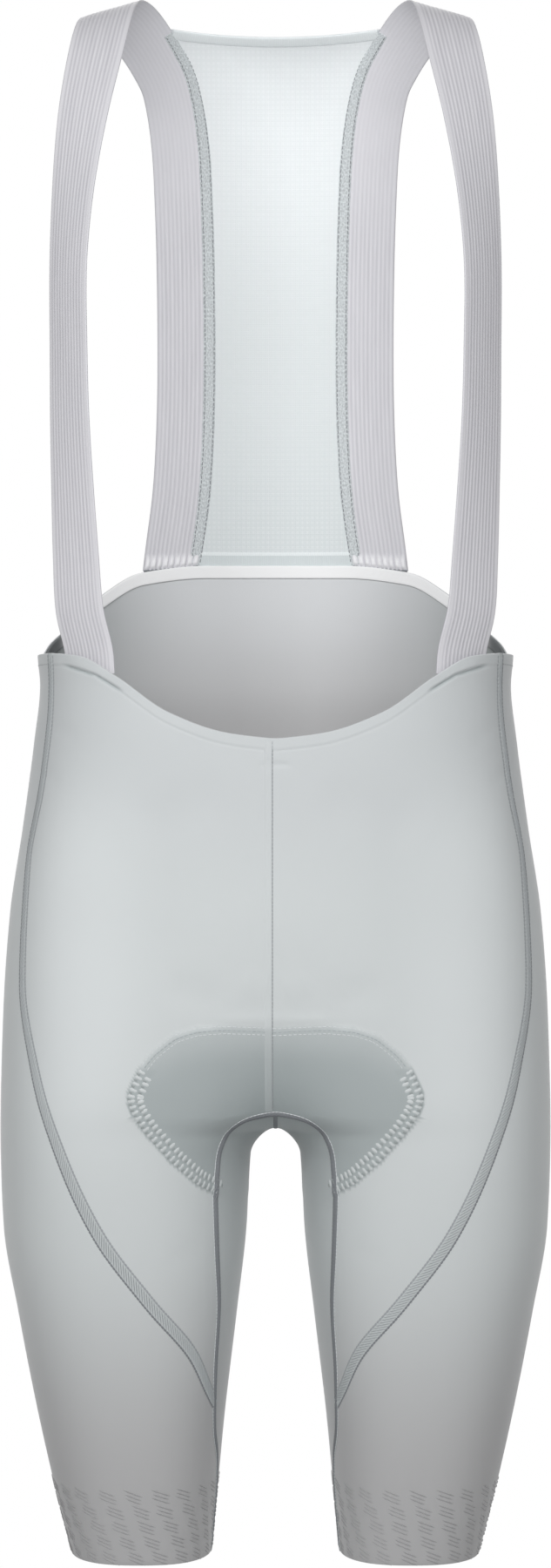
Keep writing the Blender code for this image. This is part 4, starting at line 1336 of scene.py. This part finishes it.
def shell(grid, extra_lift=0.0, even_painted_shade=None):
    """Outer and inner grids of a panel, with the cloth's relief and its painted shade on the outer one."""
    normals = figure_normals(grid)
    lift, tint = cloth_relief(grid)
    if even_painted_shade is not None:
        # Painted shade over the inner legs, deeper round the crotch
        tint = lerp(even_painted_shade, 1.0, crotch_shade(grid, INNER_SHADE_REACH))
    outer = with_extras(grid + normals * (lift + extra_lift)[..., None], tint)
    return outer, with_extras(grid - normals * PANEL_WALL, INNER_TINT)


def build_front_panels():
    """The two front panels with their turned top hem."""
    grid = front_grid(*FRONT_COUNTS)
    below = grid_lengths(grid, 0)
    turned = HEM_LIFT * (1.0 - smooth_step(below, HEM_TURN - HEM_EDGE, HEM_TURN))
    fold = FOLD_DEPTH * np.exp(-((below - HEM_TURN) / FOLD_WIDTH) ** 2)
    add_pair("front_panel", "cloth", wall(*shell(grid, turned - fold)), "stretch_knit")


def build_back_panel():
    """The one back panel, with its seat and the outer cloth of both legs."""
    torso_rows = BACK_COUNTS[0]
    grid = back_grid(*BACK_COUNTS)
    grid[:torso_rows + 1, -1, 0] = 0.0
    outer, inner = shell(grid)
    # Painted shade on the inner face's corners near the side seams
    near_side = smooth_step(inner[..., 3], CORNER_FAR, CORNER_NEAR)
    inner[..., 5] -= near_side * smooth_step(inner[..., 4], CORNER_HEIGHT, 0.0)
    surface = joined_with_mirror(wall(outer, inner, open_rows=torso_rows))
    add_sheet("back_panel_cloth", "back_panel", surface, "stretch_knit")
    return grid


def build_inner_panels():
    """The two inner leg panels, which meet under the crotch."""
    surface = wall(*shell(inner_grid(*INNER_COUNTS), even_painted_shade=INNER_LEG_PAINTED_SHADE))
    add_pair("inner_leg_panel", "cloth", surface, "stretch_knit")


def rows_below(grid, distances):
    """Rows of points at distances below a grid's first row."""
    lines = grid.swapaxes(0, 1)
    return np.stack([interpolate(distances, lengths_along(line), line) for line in lines], axis=1)


def build_waist_band(grid):
    """The white elastic inside the back waist."""
    rows = rows_below(grid, np.linspace(0.0, BAND_HEIGHT, BAND_ROWS))
    rows[:, -1, 0] = 0.0
    normals = figure_normals(rows)
    # Painted shade over the elastic's ends near the side seams
    turned = smooth_step(lengths_along(rows[0]), BAND_SHADED_REACH + BAND_SHADE_FADE, BAND_SHADED_REACH)
    outer = rows - normals * (PANEL_WALL + BAND_CLEARANCE)
    surface = whole_wall(outer, outer - normals * BAND_WALL, turned)
    slot = "white_elastic"
    add_sheet("waist_band_elastic", "waist_band", surface, slot)


# Straps and mesh


def path_functions(rows):
    """One smooth function of the distance along a path for each column of its table, and its length."""
    table = np.array(rows, float)
    lengths = lengths_along(table[:, :3])
    padded = np.pad(np.column_stack((lengths, table)), ((1, 1), (0, 0)), mode="edge")
    rises = padded[2:] - padded[:-2]
    slopes = rises[:, 1:] / rises[:, :1]
    return [curve_through(lengths, ys, slope) for ys, slope in zip(table.T, slopes.T)], lengths[-1]


STRAP_AT, STRAP_LENGTH = path_functions(STRAP_PATH)


def strap_points(distance, across, lift):
    """Points of the right strap and its outward directions. across runs from -1 inside to 1 outside."""
    distance, across, lift = np.broadcast_arrays(distance, across, lift)
    near_end = np.maximum(1.0 - (STRAP_LENGTH - distance) / STRAP_SKEW_LENGTH, 0.0)
    place = distance + STRAP_END_SKEW * across * near_end
    x, y, z, turn, slope, crown = (column(place) for column in STRAP_AT)
    step = STRAP_DIRECTION_STEP
    along = unit(np.stack([column(place + step) - column(place - step) for column in STRAP_AT[:3]], axis=-1))
    turn = np.radians(turn)
    slope = np.radians(slope)
    width = np.stack((np.cos(turn) * np.cos(slope), np.sin(turn) * np.cos(slope), -np.sin(slope)), axis=-1)
    width = unit(width - along * (width * along).sum(-1, keepdims=True))
    outward = np.cross(width, along)
    rise = lift + crown * (1.0 - across * across)
    middle = np.stack((x, y, z), axis=-1)
    return middle + width * (across * STRAP_WIDTH / 2.0)[..., None] + outward * rise[..., None], outward


def build_straps():
    """The two ribbed straps, which puff up in gathers before their last stitches at the back waist."""
    bend = STRAP_LENGTH - GATHER_ROWS_LENGTH
    plain = np.linspace(0.0, bend, STRAP_ROWS[0])
    distances = np.concatenate((plain, np.linspace(bend, STRAP_LENGTH, STRAP_ROWS[1])[1:]))
    distance, across = np.meshgrid(distances, np.linspace(-1.0, 1.0, RIB_POINTS * STRAP_RIBS + 1))
    selvage = smooth_step(np.abs(across), *SELVAGE)
    ribs = (0.5 - 0.5 * np.cos(math.pi * STRAP_RIBS * (across + 1.0))) * (1.0 - selvage)
    puffs = np.abs(np.sin(math.pi * GATHERS * (across + 1.0) / 2.0)) ** GATHER_SHARPNESS
    left = STRAP_LENGTH - distance
    puffs *= (1.0 - smooth_step(left, *GATHER_FADE)) * smooth_step(left, *GATHER_START)
    outer = strap_points(distance, across, STRAP_WALL + RIB_HEIGHT * ribs + GATHER_HEIGHT * puffs)[0]
    ribs *= lerp(CREST_RIB_SHARE, 1.0, smooth_step(outer[..., 2], *CREST_RIB_HEIGHTS))
    inner = strap_points(distance, across, -INNER_RIB_HEIGHT * ribs - GATHER_HEIGHT * puffs)[0]
    own = (across * STRAP_WIDTH / 2.0, distance)
    # Painted highlight on the gathers' crests, on both faces
    outer = with_own(outer, *own, np.maximum(selvage, puffs))
    inner = with_own(inner, *own, INNER_TINT - puffs)
    add_pair("strap", "elastic", wall(outer, inner), "ribbed_elastic")


def mesh_rows(distances, columns):
    """Rows of half the mesh panel's inner face, from the strap's inner edge to the middle plane."""
    edge = strap_points(distances, -1.0, 0.0)[0]
    shares = 1.0 - np.linspace(0.0, 1.0, columns + 1)
    hollow = 1.0 - shares ** 2
    sag = MESH_SAG * np.maximum(1.0 - (distances - MESH_START) / MESH_SAG_LENGTH, 0.0) ** 2
    across = (edge[:, 0, None] - SEAM_GAP) * shares
    depth = edge[:, 1, None] + MESH_BULGE * hollow
    height = edge[:, 2, None] - sag[:, None] * hollow
    return np.stack((across, depth, height), axis=-1)


def build_mesh_panel():
    """The mesh panel between the straps at the back."""
    rows, columns = MESH_COUNTS
    inner = mesh_rows(np.linspace(MESH_START, STRAP_LENGTH, rows), columns)
    surface = whole_wall(inner + np.array([0.0, MESH_WALL, 0.0]), inner)
    add_sheet("back_mesh_cloth", "back_mesh_panel", surface, "mesh_knit")


def mesh_ribbon(distance):
    """A ribbon across the mesh panel's outer face, at a distance along the strap."""
    distances = distance + MESH_STEP * np.array([-1.0, 0.0, 1.0])
    above, half, below = mesh_rows(distances, MESH_RIBBON_COLUMNS)
    normals = np.cross(np.gradient(half, axis=0), below - above)
    normals *= np.sign(normals[:, 1:2])
    return Ribbon(both_sides(half) + np.array([0.0, MESH_WALL, 0.0]), unit(both_sides(normals)))


def build_mesh_trims():
    """The binding at the mesh panel's top, its bottom hem, and the seams to the straps."""
    half = BINDING_WIDTH / 2.0
    thin = MESH_EDGE_WIDTH / 2.0
    for name, distance, half_width, look in (
            # The top binding and the hem's edge take a lighter copy of the binding: painted light
            ("mesh_top_binding", MESH_START + half, half, "painted_light_binding"),
            ("mesh_bottom_hem", STRAP_LENGTH - half, half, "binding"),
            ("mesh_hem_edge", STRAP_LENGTH - BINDING_WIDTH - thin, thin, "painted_light_binding")):
        band(name, mesh_ribbon(distance), half_width, BINDING_LIFT, MESH_WALL, look, "mesh_knit")
    first, last = STRAP_SEAM_SHORT
    distances = np.linspace(MESH_START + first, STRAP_LENGTH - last, STRAP_SEAM_POINTS)
    base = STRAP_WALL + RIB_HEIGHT
    depth = base + INNER_RIB_HEIGHT
    sizes = (STRAP_SEAM_HALF_WIDTH, STRAP_SEAM_LIFT, depth)
    parts = []
    for side, ribbon in side_ribbons(*strap_points(distances, STRAP_SEAM_ACROSS, base)):
        band("strap_seam_" + side, ribbon, *sizes, "cover_stitch", "mesh_knit")
        inside = Ribbon(ribbon.points, -ribbon.normals)
        for line in (-STRAP_STITCH_ACROSS, STRAP_STITCH_ACROSS):
            parts.append(stitched_row(ribbon, line, STRAP_STITCH_LIFT))
            parts.append(stitched_row(inside, line, depth + STRAP_STITCH_LIFT))
    add_piece("strap_seam_stitches", merged(parts), "dark_thread")


def build_strap_end_seams():
    """The dark line of stitching where each strap ends at the back waist."""
    across = np.linspace(-1.0, 1.0, STRAP_END_POINTS)
    for side, ribbon in side_ribbons(*strap_points(STRAP_LENGTH, across, STRAP_WALL / 2.0)):
        band("strap_end_seam_" + side, ribbon, *STRAP_END_SEAM, "dark_thread", "ribbed_elastic")


# Seams


def seam_lines():
    """The garment's seams on the figure, each with its half-width and the side of its darker edge."""
    foot = FRONT_TIP_HEIGHT - SIDE_SEAM_BEYOND_TIP
    side = figure_points(*side_place(np.linspace(SIDE_HEIGHT + SEAM_END_RISE, foot, SIDE_SEAM_POINTS)))
    shares = np.linspace(0.0, 1.0, INSEAM_POINTS) ** 2.0
    leg_heights = lerp(CROTCH_SEAM_HEIGHT, HEM_HEIGHT + SEAM_END_RISE, shares)
    front, back = (both_sides(figure_points(*inseam_place(leg_heights[::-1], face))) for face in (-1, 1))
    return {
        "side_seam_right": (side, SEAM_HALF_WIDTH, -1.0),
        "side_seam_left": (side * MIRROR, SEAM_HALF_WIDTH, 1.0),
        "inseam_front": (front, INSEAM_HALF_WIDTH, -1.0),
        "inseam_back": (back, INSEAM_HALF_WIDTH, 1.0),
    }


def seam_edge(ribbon, across, width=SEAM_EDGE_WIDTH):
    """An unbroken row of stitches along a seam's edge."""
    starts = starts_along(ribbon, STITCH_LENGTH, STITCH_LENGTH)
    return ribbon_stitches(ribbon, starts, STITCH_LENGTH, across, across, SEAM_LIFT * 0.5, width=width)


def build_seams():
    """Flat seams: a raised band with two stitched edges, one darker, and slanted threads across it."""
    parts = {"dark_edges": [], "soft_edges": [], "highlight_edges": [], "cross_stitches": []}
    for name, (line, half_width, dark_side) in seam_lines().items():
        ribbon = figure_ribbon(line)
        inseam = name.startswith("inseam")
        # The inseams take a darker copy of the seam band and darker crossing threads: painted shade
        look = "inseam_band" if inseam else "seam_band"
        band(name, ribbon, half_width, SEAM_LIFT, PANEL_WALL, look, "stretch_knit")
        edge = SEAM_EDGE_SHARE * half_width
        parts["dark_edges"].append(seam_edge(ribbon, dark_side * edge))
        if inseam:
            # A painted highlight along the inseam's other edge
            parts["highlight_edges"].append(seam_edge(ribbon, -dark_side * edge, HIGHLIGHT_EDGE_WIDTH))
        else:
            parts["soft_edges"].append(seam_edge(ribbon, -dark_side * edge))
        starts = starts_along(ribbon, CROSS_PITCH, CROSS_LENGTH)
        threads = ribbon_stitches(ribbon, starts, CROSS_LENGTH, -CROSS_SHARE * edge, CROSS_SHARE * edge,
                                  SEAM_LIFT, *CROSS_SIZE)
        parts["dark_edges" if inseam else "cross_stitches"].append(threads)
    under = figure_ribbon(arch_rows(np.array([CROTCH_SEAM_HEIGHT]), CROTCH_SEAM_COLUMNS)[0])
    # The crotch seam takes the same painted shade
    band("crotch_seam", under, CROTCH_SEAM_HALF_WIDTH, SEAM_LIFT, PANEL_WALL, "inseam_band", "stretch_knit")
    looks = {"dark_edges": "dark_thread", "highlight_edges": "light_thread"}
    for name, surfaces in parts.items():
        add_piece("seam_" + name, merged(surfaces), looks.get(name, "thread"))


def build_centre_seam():
    """The centre front seam: a pale raised strip beside a thin dark line."""
    heights = np.linspace(*CENTRE_SEAM_HEIGHTS, CENTRE_SEAM_POINTS)
    line = figure_points(*middle_place(heights, -1))
    ribbon = figure_ribbon(line + np.array([CENTRE_STRIP_ACROSS, 0.0, 0.0]))
    band("centre_seam", ribbon, CENTRE_STRIP_HALF_WIDTH, CENTRE_STRIP_LIFT, PANEL_WALL, "stretch_knit",
         "stretch_knit", CENTRE_STRIP_SHADE_SHARE)
    stitches = seam_edge(ribbon, CENTRE_LINE_ACROSS, CENTRE_LINE_WIDTH)
    add_piece("centre_seam_line", stitches, "thread")


def build_back_edge_stitches(grid):
    """The row of stitches that holds the white elastic to the back panel."""
    half = rows_below(grid, np.array([BAND_HEIGHT - BAND_STITCH_INSET]))[0]
    stitches = stitched_row(figure_ribbon(both_sides(half)), 0.0, 0.0)
    add_piece("back_edge_stitches", stitches, "thread")


# Stitching round the pad, and the leg grippers


def outline_places(pitch, shift=0.0):
    """Points evenly along the pad's outline, with its inward and its forward direction there."""
    closed = np.concatenate((PAD_OUTLINE, PAD_OUTLINE[:1]))
    lengths = lengths_along(closed)
    points = interpolate(np.arange(shift * pitch, lengths[-1], pitch), lengths, closed)
    nearest = ((points[:, None] - PAD_OUTLINE[None]) ** 2).sum(-1).argmin(axis=1)
    forward = -PAD_TANGENTS[nearest] * np.sign(points[:, :1])
    return points, PAD_INWARD[nearest], forward


def ridges_on_cloth(start, end, width, height):
    """Ridges between two sets of points, laid on the cloth."""
    points = settle(lerp(start[:, None], end[:, None], RIDGE_STATIONS[None, :, None]))
    normals = figure_normals(points)
    points = points + normals * cloth_relief(points)[0][..., None]
    return ridges(points, normals, width, height)


def build_pad_stitching():
    """Two columns of short bars down the pad's sides, and fine rows of stitches along its front."""
    bars = []
    shadow_marks = []
    for first, last, shift in ZIGZAG_COLUMNS:
        points, inward, forward = outline_places(ZIGZAG_PITCH, shift)
        sides = (points[:, 2] < ZIGZAG_TOP) & (np.abs(points[:, 0]) > ZIGZAG_INNER_END)
        start = (points + inward * first)[sides]
        end = (points + inward * last)[sides]
        bars.append(ridges_on_cloth(start, end, *ZIGZAG_SIZE))
        # Dark marks of painted shadow below the bars
        below = start - forward[sides] * ZIGZAG_PITCH / 2.0
        shadow_marks.append(ridges_on_cloth(below, below + unit(end - start) * SHADOW_MARK_LENGTH, *SHADOW_MARK_SIZE))
    add_piece("pad_zigzag_ridges", merged(bars), "stretch_knit")
    add_piece("pad_zigzag_painted_shadows", merged(shadow_marks), "zigzag_painted_shadow")
    points, inward, forward = outline_places(PAD_STITCH_PITCH)
    front = (points[:, 2] > ZIGZAG_TOP) & (points[:, 1] < 0.0)
    rows = []
    for inset in (PAD_LINE_INSET, *PAD_STITCH_INSETS):
        start = (points + inward * inset)[front]
        end = start + forward[front] * PAD_STITCH_LENGTH
        rows.append(ridges_on_cloth(start, end, *PAD_STITCH_SIZE))
    add_piece("pad_edge_line", rows[0], "soft_thread")
    add_piece("pad_edge_stitches", merged(rows[1:]), "light_thread")


def leg_angles(fractions):
    """Angles at fractions of the way round a leg's hem, from the front towards the outside."""
    angles = np.linspace(-math.pi / 2.0, 1.5 * math.pi, 361)
    lengths = lengths_along(figure_points(angles, HEM_HEIGHT))
    return np.interp(np.mod(fractions, 1.0) * lengths[-1], lengths, angles), lengths[-1]


def build_grippers():
    """Rows of raised slanted dashes above both leg hems."""
    round_hem = leg_angles(np.array([0.0]))[1]
    column, row, dash = (values.ravel() for values in np.meshgrid(
        np.arange(DASH_COLUMNS), np.arange(DASH_ROWS), np.arange(DASHES), indexing="ij"))
    # Each dash is shifted and shortened a little, by waves over the columns, rows and dashes
    uneven = DASH_UNEVENNESS * np.sin(column * 2.3 + row * 1.7)
    place = column * round_hem / DASH_COLUMNS + row * DASH_ROW_SHIFT + uneven
    height = DASH_TOP - row * DASH_ROW - (dash - (DASHES - 1) / 2.0) * DASH_PITCH
    length = DASH_LENGTH * (0.9 + 0.1 * np.cos(dash * 2.1 + column))
    reach = length[:, None] * (RIDGE_STATIONS - 0.5)
    heights = height[:, None] - reach * math.sin(DASH_SLANT)
    along = place[:, None] + reach * math.cos(DASH_SLANT)
    parts = []
    for side in (1.0, -1.0):
        points = settle(figure_points(leg_angles(along * side / round_hem)[0], heights), rounds=4)
        part = ridges(points, figure_normals(points), *DASH_SIZE)
        parts.append(part if side > 0 else mirrored(part))
    add_piece("leg_gripper_dashes", merged(parts), "gripper_dash")


def build_pad():
    """The seat pad with two soft channels along its middle."""
    rows, columns = PAD_COUNTS
    edges = pad_edge_points()
    lines = np.linspace(0.0, len(edges) - 1.0, rows)
    places = np.arange(len(edges), dtype=float)
    edge = interpolate(lines, places, edges)
    curve = crotch_curve()
    lengths = lengths_along(curve)
    shares = np.interp(lines, places, [row[0] for row in PAD_LINES])
    middle = interpolate(shares * lengths[-1], lengths, curve)
    inwards = np.linspace(0.0, 1.0, columns)
    grid = settle(lerp(edge[:, None], middle[:, None], inwards[None, :, None]))[::-1]
    grid[:, -1, 0] = 0.0
    normals = figure_normals(grid)
    from_end = np.minimum(np.arange(rows), np.arange(rows)[::-1]) / (rows - 1.0)
    rise = smooth_step(inwards, *PAD_SIDE_RAMP)[None] * smooth_step(from_end, *PAD_END_RAMP)[:, None]
    from_channel = (grid[..., 0] - PAD_CHANNEL_ACROSS) / PAD_CHANNEL_WIDTH
    channel = np.exp(-from_channel ** 2) * smooth_step(from_end, *PAD_CHANNEL_ENDS)[:, None]
    thickness = lerp(PAD_EDGE_THICKNESS, PAD_THICKNESS, rise) - PAD_CHANNEL_DEPTH * channel
    outer = grid - normals * (PANEL_WALL + PAD_CLEARANCE)
    inner = outer - normals * thickness[..., None]
    inner[:, -1, 0] = 0.0
    piece = add_piece("seat_pad", whole_wall(outer, inner), "pad_foam", "pad")


# Stage, light and camera


def build_stage():
    """A plain pale round floor below the hanging garment."""
    angles = np.linspace(0.0, 2.0 * math.pi, FLOOR_POINTS + 1)[:-1]
    rim = [(FLOOR_RADIUS * math.cos(angle), FLOOR_RADIUS * math.sin(angle), FLOOR_HEIGHT) for angle in angles]
    mesh = bpy.data.meshes.new("floor")
    mesh.from_pydata(rim, [], [list(range(len(rim)))])
    mesh.materials.append(Look("floor_look", FLOOR_COLOUR, roughness=0.9, sheen=0.0).material)
    floor = add_object("floor", mesh)


def add_item(name, data, place, turn):
    """A light or camera at a place in the scene."""
    item = add_object(name, data)
    item.location = place
    item.rotation_euler = turn
    return item


def build_surround():
    """A pale surround that is white behind the garment, as a lit studio backdrop is."""
    world = bpy.data.worlds.new("studio")
    bpy.context.scene.world = world
    world.use_nodes = True
    nodes = Nodes(world.node_tree)
    depth = nodes.add("SeparateXYZ", {0: nodes.add("TexCoord", {}, "Generated")}, "Y")
    background = world.node_tree.nodes["Background"]
    background.inputs["Color"].default_value = (1.0, 1.0, 1.0, 1.0)
    strength = nodes.spread(depth, SURROUND_TONE, 1.0, *BACKDROP_EDGE, 'SMOOTHSTEP')
    nodes.put(background.inputs["Strength"], strength)


def build_light():
    """Wide soft studio lights in front and behind, and the surround."""
    build_surround()
    for name, place, target, width, height, watts in LIGHTS:
        light = bpy.data.lights.new(name, 'AREA')
        light.shape = 'RECTANGLE'
        light.size = width
        light.size_y = height
        light.energy = watts
        turn = (Vector(target) - Vector(place)).to_track_quat('-Z', 'Y').to_euler()
        add_item(name, light, place, turn)
    bpy.context.scene.view_settings.view_transform = 'Standard'


def build_camera():
    """The photograph's camera: level, straight in front, with the whole garment in view."""
    camera = bpy.data.cameras.new("camera")
    camera.sensor_width = SENSOR
    camera.lens = SENSOR * CAMERA_DISTANCE / FRAME_HEIGHT
    place = (0.0, -CAMERA_DISTANCE, CAMERA_HEIGHT)
    bpy.context.scene.camera = add_item("camera", camera, place, (math.radians(90.0), 0.0, 0.0))


def main():
    """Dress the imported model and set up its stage."""
    build_camera()
    build_stage()
    build_light()
    build_front_panels()
    grid = build_back_panel()
    build_inner_panels()
    build_waist_band(grid)
    build_straps()
    build_mesh_panel()
    build_mesh_trims()
    build_strap_end_seams()
    build_seams()
    build_centre_seam()
    build_back_edge_stitches(grid)
    build_pad_stitching()
    build_grippers()
    build_pad()


main()
